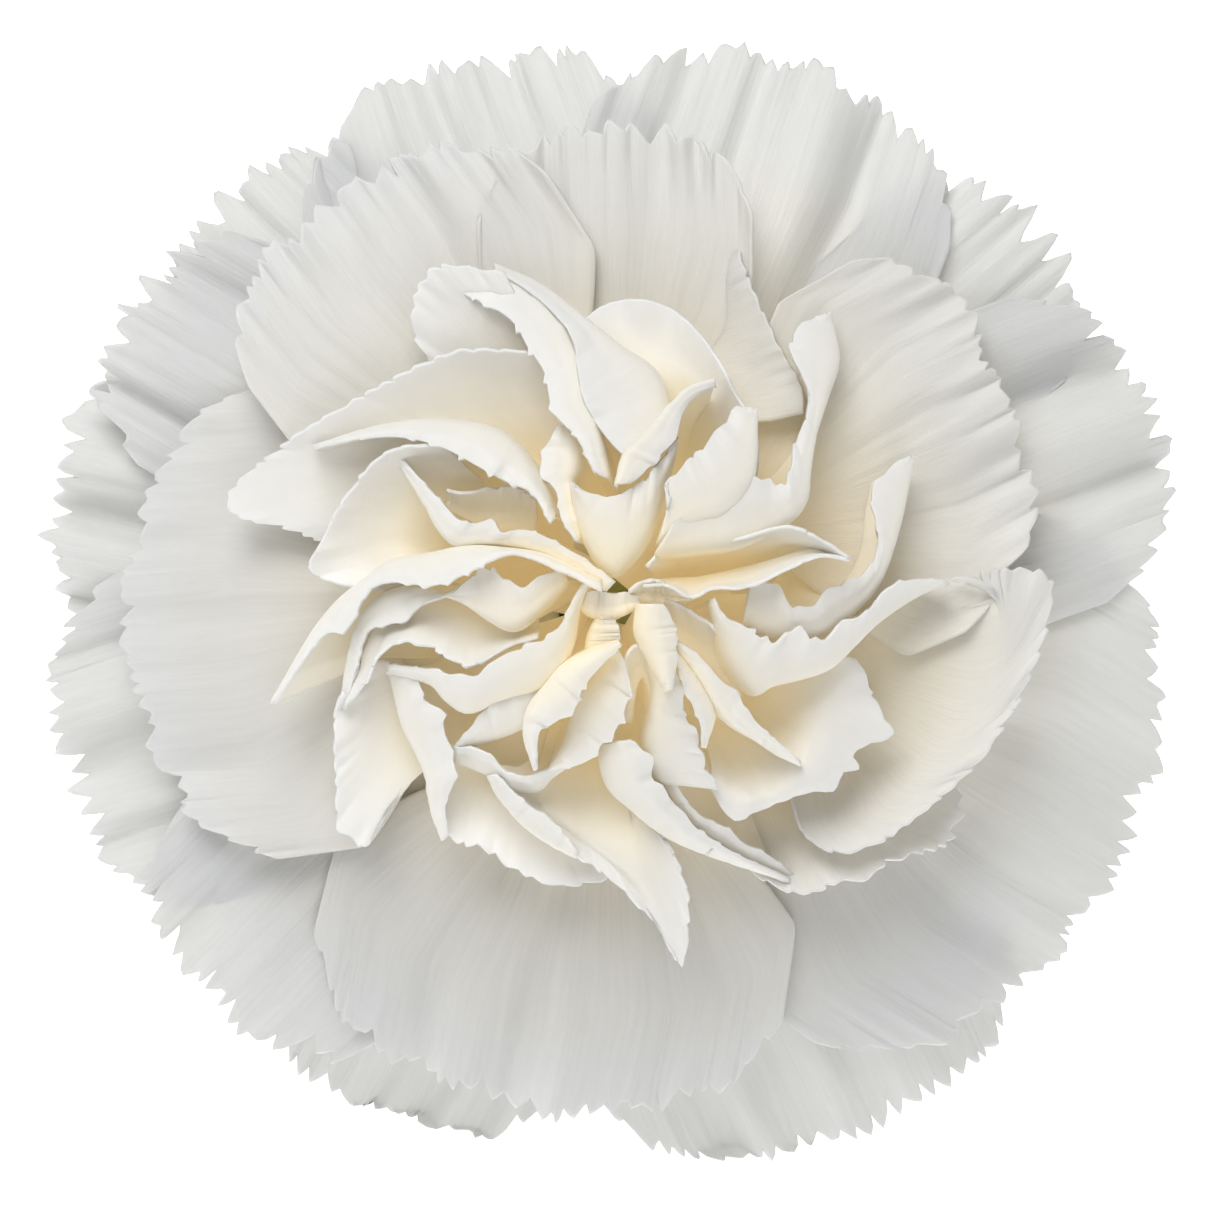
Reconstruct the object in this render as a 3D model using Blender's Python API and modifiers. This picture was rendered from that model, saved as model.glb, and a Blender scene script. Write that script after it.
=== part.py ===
"""Picked double carnation bloom, resting on its stem stub and two low guard petals.

Metres, +Z up, origin under the middle of the bloom's box. The bloom is laid out in its own frame in
millimetres (calyx mouth at the origin, face towards +Z) and is then leaned over.
"""

import math

import bmesh
import bpy
from mathutils import Matrix, Vector

MM = 0.001
PETAL_THICKNESS = 0.40
CLAW_HALF_WIDTH = 0.72
CLAW_BOTTOM = -20.0
CLAW_TOP = -1.0
LEAN_DEG = 28.0

CALYX_MOUTH_RADIUS = 8.5
CALYX_WALL = 0.8
CALYX_LENGTH = 26.0
CALYX_TOOTH = 1.5
CALYX_SIDES = 30
STEM_RADIUS = 2.0
STEM_LENGTH = 4.0
PISTIL_GAP = 0.3

WHITE = (0.86, 0.87, 0.86)
GREY_WHITE = (0.82, 0.83, 0.83)
CREAM = (0.87, 0.84, 0.75)
GREEN = (0.24, 0.36, 0.16)
STEM_GREEN = (0.28, 0.40, 0.18)
PALE_GREEN = (0.55, 0.62, 0.33)

# Each spread petal: azimuth of the blade, half width, rim radius, level in the stack (higher is nearer
# the face), azimuth of the claw, and how far the rim droops below its level.
GUARDS = {
    "guard_petal_01": (109.0, 20.0, 39.0, 1.4, 107.0, 0.0),
    "guard_petal_02": (134.0, 16.5, 39.5, 0.55, 128.0, 0.0),
    "guard_petal_03": (149.5, 15.0, 39.7, 2.2, 149.0, 0.0),
    "guard_petal_04": (168.0, 16.5, 40.5, -0.25, 170.0, 0.0),
    "guard_petal_05": (197.0, 20.0, 40.6, 1.4, 192.0, 0.0),
    "guard_petal_06": (224.0, 18.0, 39.6, 2.2, 219.0, 0.0),
    "guard_petal_07": (243.0, 20.0, 40.0, 0.6, 238.0, 1.975),
    "guard_petal_08": (259.0, 32.0, 35.5, 3.1, 259.0, 0.0),
    "guard_petal_09": (294.0, 26.0, 41.0, 1.2, 290.0, 1.03),
    "guard_petal_10": (330.0, 36.0, 38.7, 2.2, 336.0, 0.0),
    "guard_petal_11": (19.0, 19.0, 39.0, 3.0, 10.0, 0.0),
    "guard_petal_12": (41.0, 15.0, 38.9, 1.4, 39.0, 0.0),
    "guard_petal_13": (70.5, 23.0, 39.0, 2.3, 68.0, 0.0),
}
SECOND_RING = {
    "second_petal_1": (125.0, 25.0, 34.0, 4.3, 124.0, 0.0),
    "second_petal_2": (86.0, 24.5, 32.0, 3.4, 90.0, 0.0),
    "second_petal_3": (28.0, 30.0, 30.0, 4.7, 32.0, 0.0),
    "second_petal_4": (338.0, 28.0, 28.5, 3.9, 344.0, 0.0),
    "second_petal_5": (318.0, 17.0, 27.0, 3.1, 313.0, 0.0),
    "second_petal_6": (184.0, 33.0, 34.0, 3.6, 181.0, 0.0),
}
THIRD_RING = {
    "third_petal_1": (225.0, 24.0, 25.0, 5.2, 214.0, 0.0),
    "third_petal_2": (280.0, 21.5, 25.0, 5.2, 274.0, 0.0),
    "third_petal_3": (165.0, 24.0, 27.5, 5.2, 156.0, 0.0),
    "third_petal_4": (172.0, 22.0, 21.0, 6.3, 183.0, 0.0),
    "third_petal_5": (233.0, 22.0, 19.5, 6.3, 246.0, 0.0),
    "third_petal_6": (303.0, 17.5, 22.8, 6.2, 304.0, 0.0),
    "third_petal_7": (338.0, 13.5, 20.5, 6.2, 336.0, 0.0),
}
# The standing petals of the heart form a pinwheel; each one has an outer reach and a height.
PINWHEEL_REACH = (21.0, 11.5, 20.5, 10.0, 19.0, 12.0, 22.0, 10.5, 21.5, 11.5, 20.0, 9.5, 20.0, 12.0, 19.0, 10.0, 18.5, 11.0)
PINWHEEL_START_DEG = 8.0
PINWHEEL_CLAW_RADII = (3.05, 1.95)
PINWHEEL_CLAW_TAPER = (0.6, 0.0)
PINWHEEL_CLAW_BOTTOMS = (-18.5, -11.0)
PINWHEEL_SWEEP = 0.42
PINWHEEL_LEAN = 1.0
BRACTS = 4


def material(name, colour, roughness):
    made = bpy.data.materials.new(name)
    made.use_nodes = True
    shader = made.node_tree.nodes["Principled BSDF"]
    shader.inputs["Base Color"].default_value = (*colour, 1.0)
    shader.inputs["Roughness"].default_value = roughness
    shader.inputs["Metallic"].default_value = 0.0
    made.diffuse_color = (*colour, 1.0)
    return made


def add_object(name, mesh, collection, shade, smooth=True):
    made = bpy.data.objects.new(name, mesh)
    collection.objects.link(made)
    mesh.materials.append(shade)
    for polygon in mesh.polygons:
        polygon.use_smooth = smooth
    return made


def add_solidify(made, thickness):
    shell = made.modifiers.new("thickness", "SOLIDIFY")
    shell.thickness = thickness * MM
    shell.offset = 0.0
    shell.use_even_offset = True
    shell.use_rim = True


def grid_mesh(name, rows, place):
    """A mesh over a grid of (across, along) values; place gives each point in millimetres."""
    mesh = bpy.data.meshes.new(name)
    form = bmesh.new()
    points = []
    for row in rows:
        points.append([form.verts.new(place(*cell) * MM) for cell in row])
    for lower, upper in zip(points, points[1:]):
        for side in range(len(lower) - 1):
            form.faces.new((lower[side], lower[side + 1], upper[side + 1], upper[side]))
    bmesh.ops.recalc_face_normals(form, faces=form.faces)
    form.to_mesh(mesh)
    form.free()
    return mesh


def hermite(low, high, share, slope_low, slope_high, width):
    square = share * share
    cube = square * share
    value = (2 * cube - 3 * square + 1) * low + (3 * square - 2 * cube) * high
    return value + (cube - 2 * square + share) * slope_low * width + (cube - square) * slope_high * width


def blade_height(level, radius):
    """Height of the spread petals' shared leaf surface; a higher level lies nearer the face."""
    knots = (10.0, 20.0, 30.0, 42.0)
    heights = (2.0 + level, 0.5 + 1.4 * level, -4.0 + 1.5 * level, -11.5 + 1.5 * level)
    slopes = (0.25 + 0.03 * level, -0.28, -0.52, -0.70)
    for place in range(3):
        if radius <= knots[place + 1] or place == 2:
            width = knots[place + 1] - knots[place]
            share = (radius - knots[place]) / width
            ends = heights[place], heights[place + 1]
            return hermite(*ends, share, slopes[place], slopes[place + 1], width)
    return heights[-1]


def neck_point(level, share):
    """Radius and height between the claw's top and the blade's start, as one Bezier arc."""
    mouth = 6.9 - 0.45 * level
    height = 2.0 + level
    slope = 0.25 + 0.03 * level
    corners = ((mouth, CLAW_TOP), (mouth + 0.2, 1.2 + 0.6 * level), (8.2, height - 1.8 * slope), (10.0, height))
    weights = ((1 - share) ** 3, 3 * share * (1 - share) ** 2, 3 * share**2 * (1 - share), share**3)
    radius = sum(weight * corner[0] for weight, corner in zip(weights, corners))
    return radius, sum(weight * corner[1] for weight, corner in zip(weights, corners))


def spread_petal(name, layout, collection, shade):
    azimuth, half_width, rim, level, claw, droop = layout
    blade_turn = math.radians(azimuth)
    claw_turn = math.radians(azimuth + (claw - azimuth + 180.0) % 360.0 - 180.0)
    widest = math.radians(half_width) * rim * 0.86

    def place(across, along):
        edge = 1.0 - 0.045 * across**2 - 0.10 * across**8
        if along <= 1.0:
            radius = 5.1 - 0.31 * level + (1.8 - 0.14 * level) * along
            height = CLAW_BOTTOM + (CLAW_TOP - CLAW_BOTTOM) * along
            turn = claw_turn
            half = CLAW_HALF_WIDTH
        elif along <= 2.0:
            radius, height = neck_point(level, along - 1.0)
            share = along - 1.0
            turn = claw_turn + (blade_turn - claw_turn) * 0.25 * share * share
            half = CLAW_HALF_WIDTH + 1.0 * share**2
        else:
            share = along - 2.0
            radius = 10.0 + (rim * edge - 10.0) * share
            height = blade_height(level, radius)
            height -= droop * max(0.0, (radius - 18.0) / 22.0) ** 2
            height += 0.15 * math.sin(3.0 * across + azimuth) * share
            turn = claw_turn + (blade_turn - claw_turn) * (0.25 + 0.75 * (1.0 - (1.0 - share) ** 2))
            flare = min(1.0, share / 0.72)
            half = CLAW_HALF_WIDTH + 1.0 + (widest - CLAW_HALF_WIDTH - 1.0) * flare
        angle = turn + across * half / radius
        return Vector((radius * math.cos(angle), radius * math.sin(angle), height))

    lengths = (0.0, 0.5, 1.0, 1.4, 1.75, 2.0, 2.2, 2.42, 2.7, 3.0)
    sides = (-1.0, -0.8, -0.42, 0.0, 0.42, 0.8, 1.0)
    rows = [[(across, along) for across in sides] for along in lengths]
    made = add_object(name, grid_mesh(name, rows, place), collection, shade)
    add_solidify(made, PETAL_THICKNESS)
    return made


def pinwheel_petal(name, turn_deg, reach, inner, collection, shade):
    claw_radius = PINWHEEL_CLAW_RADII[inner]
    bottom = PINWHEEL_CLAW_BOTTOMS[inner]
    taper = PINWHEEL_CLAW_TAPER[inner]
    claw_half = (0.50, 0.40)[inner]
    inner_end = (3.4, 2.3)[inner]
    turn = math.radians(turn_deg)

    def place(across, along):
        if along <= 0.0:
            radius = claw_radius + taper * along
            angle = turn + across * claw_half / radius
            return Vector((radius * math.cos(angle), radius * math.sin(angle), -along * bottom))
        share = (across + 1.0) / 2.0
        top_radius = inner_end + (reach - inner_end) * share
        top_height = 21.5 - 0.017 * top_radius**2 - 1.5 * (1.0 - share) ** 2
        rise = along**0.9
        radius = claw_radius + (top_radius - claw_radius) * along**2.4
        height = top_height * rise
        out = (radius - PINWHEEL_CLAW_RADII[1]) / 18.0
        angle = turn + PINWHEEL_SWEEP * out + PINWHEEL_LEAN * out * height / 20.0
        angle += across * claw_half / claw_radius * (1.0 - min(1.0, along * 2.2)) ** 2
        return Vector((radius * math.cos(angle), radius * math.sin(angle), height))

    lengths = (-1.0, -0.5, 0.0, 0.3, 0.5, 0.7, 0.85, 1.0)
    sides = (-1.0, -0.6, -0.2, 0.2, 0.6, 1.0)
    rows = [[(across, along) for across in sides] for along in lengths]
    made = add_object(name, grid_mesh(name, rows, place), collection, shade)
    add_solidify(made, PETAL_THICKNESS)
    return made


def calyx_radius(depth):
    """Outer radius of the calyx tube at a depth below its mouth."""
    share = depth / CALYX_LENGTH
    return CALYX_MOUTH_RADIUS - 0.9 * share - 2.6 * share**6


def calyx(collection, shade):
    """A cup with five pointed teeth round its mouth."""
    mesh = bpy.data.meshes.new("calyx")
    form = bmesh.new()
    depths = (0.0, 6.0, 13.0, 19.0, 23.0, 25.0, CALYX_LENGTH)

    def ring(radius, height, spread=0.0):
        points = []
        for side in range(CALYX_SIDES):
            angle = math.tau * side / CALYX_SIDES
            phase = (side % (CALYX_SIDES // 5)) / (CALYX_SIDES // 5)
            tooth = spread * (1.0 - abs(2.0 * phase - 1.0))
            reach = radius + tooth
            where = Vector((reach * math.cos(angle), reach * math.sin(angle), height + 0.5 * tooth))
            points.append(form.verts.new(where * MM))
        return points

    rings = [ring(CALYX_MOUTH_RADIUS - CALYX_WALL + 0.2, 0.35, CALYX_TOOTH)]
    for depth in depths[:-1]:
        rings.append(ring(calyx_radius(depth) - CALYX_WALL, -depth))
    inside_bottom = form.verts.new(Vector((0.0, 0.0, -depths[-2])) * MM)
    rings_out = [ring(CALYX_MOUTH_RADIUS + 0.2, 0.2, CALYX_TOOTH)]
    for depth in depths:
        rings_out.append(ring(calyx_radius(depth), -depth))
    outside_bottom = form.verts.new(Vector((0.0, 0.0, -CALYX_LENGTH)) * MM)
    for stack in (rings, rings_out):
        for upper, lower in zip(stack, stack[1:]):
            for side in range(CALYX_SIDES):
                after = (side + 1) % CALYX_SIDES
                form.faces.new((upper[side], upper[after], lower[after], lower[side]))
    for last, centre in ((rings[-1], inside_bottom), (rings_out[-1], outside_bottom)):
        for side in range(CALYX_SIDES):
            form.faces.new((last[side], last[(side + 1) % CALYX_SIDES], centre))
    for side in range(CALYX_SIDES):
        after = (side + 1) % CALYX_SIDES
        form.faces.new((rings[0][side], rings[0][after], rings_out[0][after], rings_out[0][side]))
    bmesh.ops.recalc_face_normals(form, faces=form.faces)
    form.to_mesh(mesh)
    form.free()
    return add_object("calyx", mesh, collection, shade)


def turned(name, profile, sides, collection, shade):
    """A solid of revolution about the bloom's axis; the profile is (radius, height), bottom first."""
    mesh = bpy.data.meshes.new(name)
    form = bmesh.new()
    foot = form.verts.new(Vector((0.0, 0.0, profile[0][1])) * MM)
    head = form.verts.new(Vector((0.0, 0.0, profile[-1][1])) * MM)
    rings = []
    for radius, height in profile:
        points = []
        for side in range(sides):
            angle = math.tau * side / sides
            points.append(form.verts.new(Vector((radius * math.cos(angle), radius * math.sin(angle), height)) * MM))
        rings.append(points)
    for lower, upper in zip(rings, rings[1:]):
        for side in range(sides):
            after = (side + 1) % sides
            form.faces.new((lower[side], lower[after], upper[after], upper[side]))
    for side in range(sides):
        after = (side + 1) % sides
        form.faces.new((foot, rings[0][after], rings[0][side]))
        form.faces.new((head, rings[-1][side], rings[-1][after]))
    bmesh.ops.recalc_face_normals(form, faces=form.faces)
    form.to_mesh(mesh)
    form.free()
    return add_object(name, mesh, collection, shade)


def style(name, side, collection, shade):
    """One of the two slender styles, a tapering tube that curls outwards a little."""
    mesh = bpy.data.meshes.new(name)
    form = bmesh.new()
    rings = []
    for step in range(9):
        share = step / 8
        centre = Vector((side * (0.62 + 0.25 * share**2), 0.25 * math.sin(3.0 * share), -11.6 + 20.0 * share))
        radius = 0.36 - 0.10 * share
        points = []
        for corner in range(6):
            angle = math.tau * corner / 6
            offset = Vector((radius * math.cos(angle), radius * math.sin(angle), 0.0))
            points.append(form.verts.new((centre + offset) * MM))
        rings.append(points)
    for lower, upper in zip(rings, rings[1:]):
        for corner in range(6):
            after = (corner + 1) % 6
            form.faces.new((lower[corner], lower[after], upper[after], upper[corner]))
    form.faces.new(rings[0])
    form.faces.new(rings[-1])
    bmesh.ops.recalc_face_normals(form, faces=form.faces)
    form.to_mesh(mesh)
    form.free()
    return add_object(name, mesh, collection, shade)


def bract(name, azimuth, collection, shade):
    """A pointed scale of the epicalyx, hugging the foot of the calyx."""
    turn = math.radians(azimuth)

    def place(across, along):
        depth = 24.6 - 9.0 * along
        radius = calyx_radius(depth) + 0.3 + 0.25 + 0.3 * along
        half = 3.6 * (1.0 - along**2.2) + 0.25
        angle = turn + across * half / radius
        height = -depth - 0.4 * across**2
        return Vector((radius * math.cos(angle), radius * math.sin(angle), height))

    rows = [[(across, along) for across in (-1, -0.5, 0, 0.5, 1)] for along in (0, 0.25, 0.5, 0.75, 1)]
    made = add_object(name, grid_mesh(name, rows, place), collection, shade)
    add_solidify(made, 0.45)
    return made


def build():
    for old in list(bpy.data.objects):
        bpy.data.objects.remove(old, do_unlink=True)
    collection = bpy.data.collections.new("carnation_bloom")
    bpy.context.scene.collection.children.link(collection)
    white = material("petal_white", WHITE, 0.62)
    grey_white = material("petal_outer_white", GREY_WHITE, 0.62)
    cream = material("petal_cream", CREAM, 0.6)
    green = material("calyx_green", GREEN, 0.55)
    stem_green = material("stem_green", STEM_GREEN, 0.5)
    pale = material("pistil_pale_green", PALE_GREEN, 0.5)

    made = []
    for ring, shade in ((GUARDS, grey_white), (SECOND_RING, white), (THIRD_RING, cream)):
        for name, layout in ring.items():
            made.append(spread_petal(name, layout, collection, shade))
    step = 360.0 / len(PINWHEEL_REACH)
    for place, reach in enumerate(PINWHEEL_REACH):
        inner = int(reach < 15.0)
        turn = PINWHEEL_START_DEG + step * place
        name = f"{('heart', 'core')[inner]}_petal_{place + 1:02d}"
        made.append(pinwheel_petal(name, turn, reach, inner, collection, cream))
    made.append(calyx(collection, green))
    for place in range(BRACTS):
        made.append(bract(f"bract_{place + 1}", 45.0 + 360.0 * place / BRACTS, collection, green))
    top = -CALYX_LENGTH - PISTIL_GAP
    foot = -CALYX_LENGTH - STEM_LENGTH
    stub = ((STEM_RADIUS - 0.15, foot), (STEM_RADIUS, foot + 0.2), (STEM_RADIUS, top - 0.6), (STEM_RADIUS + 0.5, top))
    made.append(turned("stem_stub", stub, 20, collection, stem_green))
    seat = -24.7
    dome = ((3.6, seat), (3.9, seat + 1.2), (3.2, seat + 2.6), (1.8, seat + 3.6))
    made.append(turned("receptacle", dome, 16, collection, pale))
    egg = ((1.1, -20.8), (1.5, -19.4), (1.7, -17.0), (1.5, -14.4), (1.1, -12.6), (0.7, -12.0))
    made.append(turned("ovary", egg, 14, collection, pale))
    made.append(style("style_1", -1, collection, pale))
    made.append(style("style_2", 1, collection, pale))

    lean = Matrix.Rotation(math.radians(LEAN_DEG), 4, "X")
    for part in made:
        part.data.transform(lean)
    bpy.context.view_layer.update()
    graph = bpy.context.evaluated_depsgraph_get()
    corners = []
    for part in made:
        shape = part.evaluated_get(graph).to_mesh()
        corners.extend(vertex.co.copy() for vertex in shape.vertices)
        part.evaluated_get(graph).to_mesh_clear()
    low = [min(corner[axis] for corner in corners) for axis in range(3)]
    high = [max(corner[axis] for corner in corners) for axis in range(3)]
    shift = Matrix.Translation((-(low[0] + high[0]) / 2, -(low[1] + high[1]) / 2, -low[2]))
    for part in made:
        part.data.transform(shift)


build()
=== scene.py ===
"""Carnation bloom: petals, calyx, bracts, pistil and stem stub, with a pale studio floor.

The bloom's own frame is in millimetres: calyx mouth at the origin, face towards +Z.
"""

import math

import bmesh
import bpy
import numpy as np
from mathutils import Matrix, Vector


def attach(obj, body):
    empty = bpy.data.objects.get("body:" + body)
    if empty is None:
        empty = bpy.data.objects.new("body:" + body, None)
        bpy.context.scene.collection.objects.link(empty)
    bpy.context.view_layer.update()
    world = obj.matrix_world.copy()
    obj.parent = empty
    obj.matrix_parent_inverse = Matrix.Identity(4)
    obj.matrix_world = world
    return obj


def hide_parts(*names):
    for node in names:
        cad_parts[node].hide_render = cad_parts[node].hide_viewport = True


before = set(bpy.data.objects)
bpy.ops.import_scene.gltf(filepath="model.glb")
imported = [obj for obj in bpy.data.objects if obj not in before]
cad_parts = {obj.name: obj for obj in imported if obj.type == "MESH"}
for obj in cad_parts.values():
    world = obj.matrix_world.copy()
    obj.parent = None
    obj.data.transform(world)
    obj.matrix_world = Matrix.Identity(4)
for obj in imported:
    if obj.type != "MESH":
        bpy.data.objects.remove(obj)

bl_info = {
    "name": "Carnation Bloom",
    "version": (1, 0, 0),
    "blender": (4, 5, 0),
    "location": "View3D > Sidebar > Bloom",
    "description": "Makes a picked double carnation head with toothed, ruffled petals",
    "category": "Add Mesh",
}

MM = 0.001
LEAN = math.radians(28.0)
FLOOR_CLEARANCE = 0.12

# Heights and radii below are in millimetres in the bloom's own frame.
STUB_FOOT = -30.0
CLAW_FOOT = -20.0
CLAW_TOP = -1.0
DOME_TOP = 22.0
DOME_FALL = 0.02

# Claws of folded and open petals by ring: radius at the foot and at the top, half width, height of the foot.
CLAWS = {
    "second": (4.0, 5.3, 0.72, CLAW_FOOT),
    "third": (3.2, 4.1, 0.72, CLAW_FOOT),
    "heart": (2.45, 3.05, 0.45, -18.5),
    "core": (1.95, 1.95, 0.3, -11.0),
}

# A spread petal has a claw, a neck from its claw's top and a blade. Its level is its place in the stack: a
# higher one stands nearer the bloom's axis and the face.
SPREAD_CLAW_HALF = 0.72
SPREAD_CLAW_FOOT = 5.1
SPREAD_CLAW_RISE = 1.8
BLADE_START = 10.0
START_HEIGHT = 2.0
START_SLOPE = 0.25
SLOPE_PER_LEVEL = 0.03
MOUTH_RADIUS = 6.9
MOUTH_PER_LEVEL = 0.45

# The rim of a spread blade, as parts of its radius: fall to the sides, round corners, slow wander, lobes.
EDGE_FALL, EDGE_CORNER, EDGE_WANDER, EDGE_LOBES = 0.045, 0.10, 0.012, 0.016
# Heights of a spread blade's waves, from the slowest to the finest, and of its teeth.
ROLL, PLEAT, RUFFLE, CREASE, TOOTH_LIFT = 0.45, 0.34, 0.3, 0.04, 0.2
# Heights of the waves and teeth on the rims of the heart.
HEART_RUFFLE, HEART_PLEAT, HEART_TOOTH_LIFT = 0.22, 0.12, 0.2

# Petal materials by slot: painted shade level, head start of the cream, veins across a blade, their height,
# their contrast. The level is painted shade: lit and shaded copies of the same white tissue, set darker on
# the guard and second rings than in the heart for how the light falls on each ring.
PETAL_SHADES = {
    "petal_outer_white": (0.765, 0.05, 110.0, 0.00015, 0.085),
    "petal_white": (0.81, 0.05, 110.0, 0.0001, 0.065),
    "petal_cream": (0.985, 0.0, 24.0, 0.00003, 0.03),
}
PETAL_TISSUE = {
    "Roughness": 0.55,
    "Specular IOR Level": 0.25,
    "Sheen Weight": 0.15,
    "Sheen Roughness": 0.5,
    "Subsurface Weight": 0.45,
    "Subsurface Radius": (1.0, 0.95, 0.85),
    "Subsurface Scale": 0.0009,
    # The emission strength lights the throat's painted light.
    "Emission Strength": 1.0,
}
# Painted light: an emission where a blade is most cream. It stands in for light passing through the petals
# and lifts the shaded heart and throat.
PAINTED_THROAT_LIGHT = (0.12, 0.097, 0.058, 1.0)
BLACK = (0.0, 0.0, 0.0, 1.0)

# Skins of the green parts: name, body or None for the calyx green, ribs, (height where the end's tint starts,
# height where it's full, tint), roughness, nodes.
GREEN_SKINS = (
    ("calyx_skin", None, (0.30, 0.40, 0.18), (-16.0, -27.0, (0.30, 0.38, 0.16)), 0.42, ("calyx",)),
    ("bract_skin", None, (0.26, 0.34, 0.14), (-22.0, -15.0, (0.36, 0.36, 0.18)), 0.5,
     ("bract_1", "bract_2", "bract_3", "bract_4")),
    ("stem_skin", None, (0.24, 0.34, 0.15), (-29.2, -29.9, (0.50, 0.52, 0.28)), 0.45, ("stem_stub",)),
    ("pistil_skin", (0.42, 0.50, 0.20), (0.60, 0.62, 0.34), (-4.0, 4.0, (0.80, 0.78, 0.60)), 0.4,
     ("receptacle", "ovary", "style_1", "style_2")),
)
RIBS_AROUND = 25.0

# The studio, in metres from the calyx mouth along the bloom's own right, up and face directions.
LIGHTS = (
    ("key", (-0.15, 0.50, 0.60), 0.55, 4.5),
    ("fill", (0.1, -0.35, 0.9), 0.6, 1.6),
)
WORLD_STRENGTH = 0.32
FLOOR_HALF = 1.5
FLOOR_PAINT = {
    "Base Color": (0.9, 0.9, 0.9, 1.0),
    "Roughness": 0.9,
    "Emission Color": (1.0, 1.0, 1.0, 1.0),
    "Emission Strength": 0.75,
}
CAMERA_DISTANCE = 0.6
CAMERA_AIM = (-0.0010, -0.0005)
LENS = 258.0

# Spread petals: blade, azimuth, half width, rim radius, level, claw azimuth, droop, seed, (cupping, skew) and
# folds, each (offset across the blade, depth, width across the blade).
SPREAD_PETALS = (
    ("guard_blade_01", 109.0, 21.5, 39.6, 1.4, 107.0, 0.0, 11, (0.0, 0.0),
     ((0.7, 2.8, 0.12), (0.4, -1.0, 0.12), (0.05, 1.4, 0.08), (-0.35, 1.4, 0.14))),
    ("guard_blade_02", 134.0, 16.5, 39.8, 0.55, 128.0, 0.0, 12, (0.0, 0.0),
     ((0.1, 0.5, 0.3),)),
    ("guard_blade_03", 149.5, 15.0, 40.2, 2.2, 149.0, 0.0, 13, (0.0, 0.0),
     ((0.57, 3.0, 0.14), (0.1, -1.5, 0.18), (-0.5, 1.9, 0.13))),
    ("guard_blade_04", 168.0, 16.5, 41.0, -0.25, 170.0, 0.0, 14, (0.0, 0.0),
     ((-0.6, 3.3, 0.15), (-0.2, -1.4, 0.13), (0.2, 3.1, 0.13), (0.55, -1.2, 0.1), (0.8, 2.4, 0.11))),
    ("guard_blade_05", 197.0, 20.0, 41.0, 1.4, 192.0, 0.0, 15, (0.0, 0.0),
     ((0.5, 1.4, 0.12), (0.25, -0.8, 0.1), (0.02, 2.8, 0.14), (-0.27, -0.9, 0.12), (-0.55, 1.8, 0.12))),
    ("guard_blade_06", 224.0, 18.5, 40.0, 2.2, 219.0, 0.0, 16, (0.0, 0.0),
     ((-0.35, 1.0, 0.14), (0.2, 0.9, 0.12))),
    ("guard_blade_07", 243.0, 20.0, 40.2, 0.6, 238.0, 1.975, 17, (0.0, 0.0),
     ((0.1, 0.5, 0.3),)),
    ("guard_blade_08", 259.0, 32.0, 36.0, 3.1, 259.0, 0.0, 18, (0.0, 0.0),
     ((-0.05, 1.4, 0.07), (0.12, -0.8, 0.1), (-0.45, 1.3, 0.1), (0.5, 1.2, 0.1))),
    ("guard_blade_09", 294.0, 26.0, 41.2, 1.2, 290.0, 1.03, 19, (0.0, 0.0),
     ((0.35, -0.8, 0.12), (0.1, 1.3, 0.08), (-0.2, 1.9, 0.13), (-0.55, 1.2, 0.1))),
    ("guard_blade_10", 330.0, 36.0, 39.3, 2.2, 336.0, 0.0, 20, (0.0, 0.0),
     ((-0.35, 1.3, 0.1), (0.3, 1.2, 0.1), (0.0, -0.5, 0.2))),
    ("guard_blade_11", 19.0, 19.0, 39.5, 3.0, 10.0, 0.0, 21, (0.0, 0.0),
     ((0.4, 2.8, 0.12), (-0.3, 2.3, 0.12), (0.05, -1.3, 0.13), (0.75, -1.0, 0.12))),
    ("guard_blade_12", 41.0, 15.0, 39.3, 1.4, 39.0, 0.0, 22, (0.0, 0.0),
     ((0.0, 0.4, 0.4),)),
    ("guard_blade_13", 70.5, 23.0, 39.6, 2.3, 68.0, 0.0, 23, (0.0, 0.0),
     ((-0.42, 3.0, 0.11), (-0.15, -1.2, 0.12), (0.2, 1.6, 0.08), (0.55, 1.9, 0.12))),
    ("second_blade_1", 125.0, 25.0, 34.3, 4.3, 124.0, 0.0, 31, (4.2, 0.0),
     ((0.2, 0.9, 0.2), (-0.3, 1.0, 0.12), (-0.6, -0.5, 0.2))),
    ("second_blade_2", 91.0, 19.5, 32.6, 3.4, 92.0, 0.0, 32, (4.4, 0.0),
     ((0.45, 0.7, 0.12), (-0.3, 0.6, 0.2), (0.05, -0.5, 0.3))),
    ("second_blade_3", 28.0, 30.0, 30.2, 4.7, 32.0, 0.0, 33, (2.4, 0.07),
     ((-0.35, 0.8, 0.14), (0.1, 0.6, 0.1), (0.5, 0.9, 0.16))),
    ("second_blade_6", 184.0, 33.0, 34.4, 3.6, 181.0, 0.0, 36, (0.9, 0.0),
     ((-0.05, 0.9, 0.08), (-0.4, 0.7, 0.14), (0.25, -0.6, 0.12), (0.55, 1.0, 0.12))),
)
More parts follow.
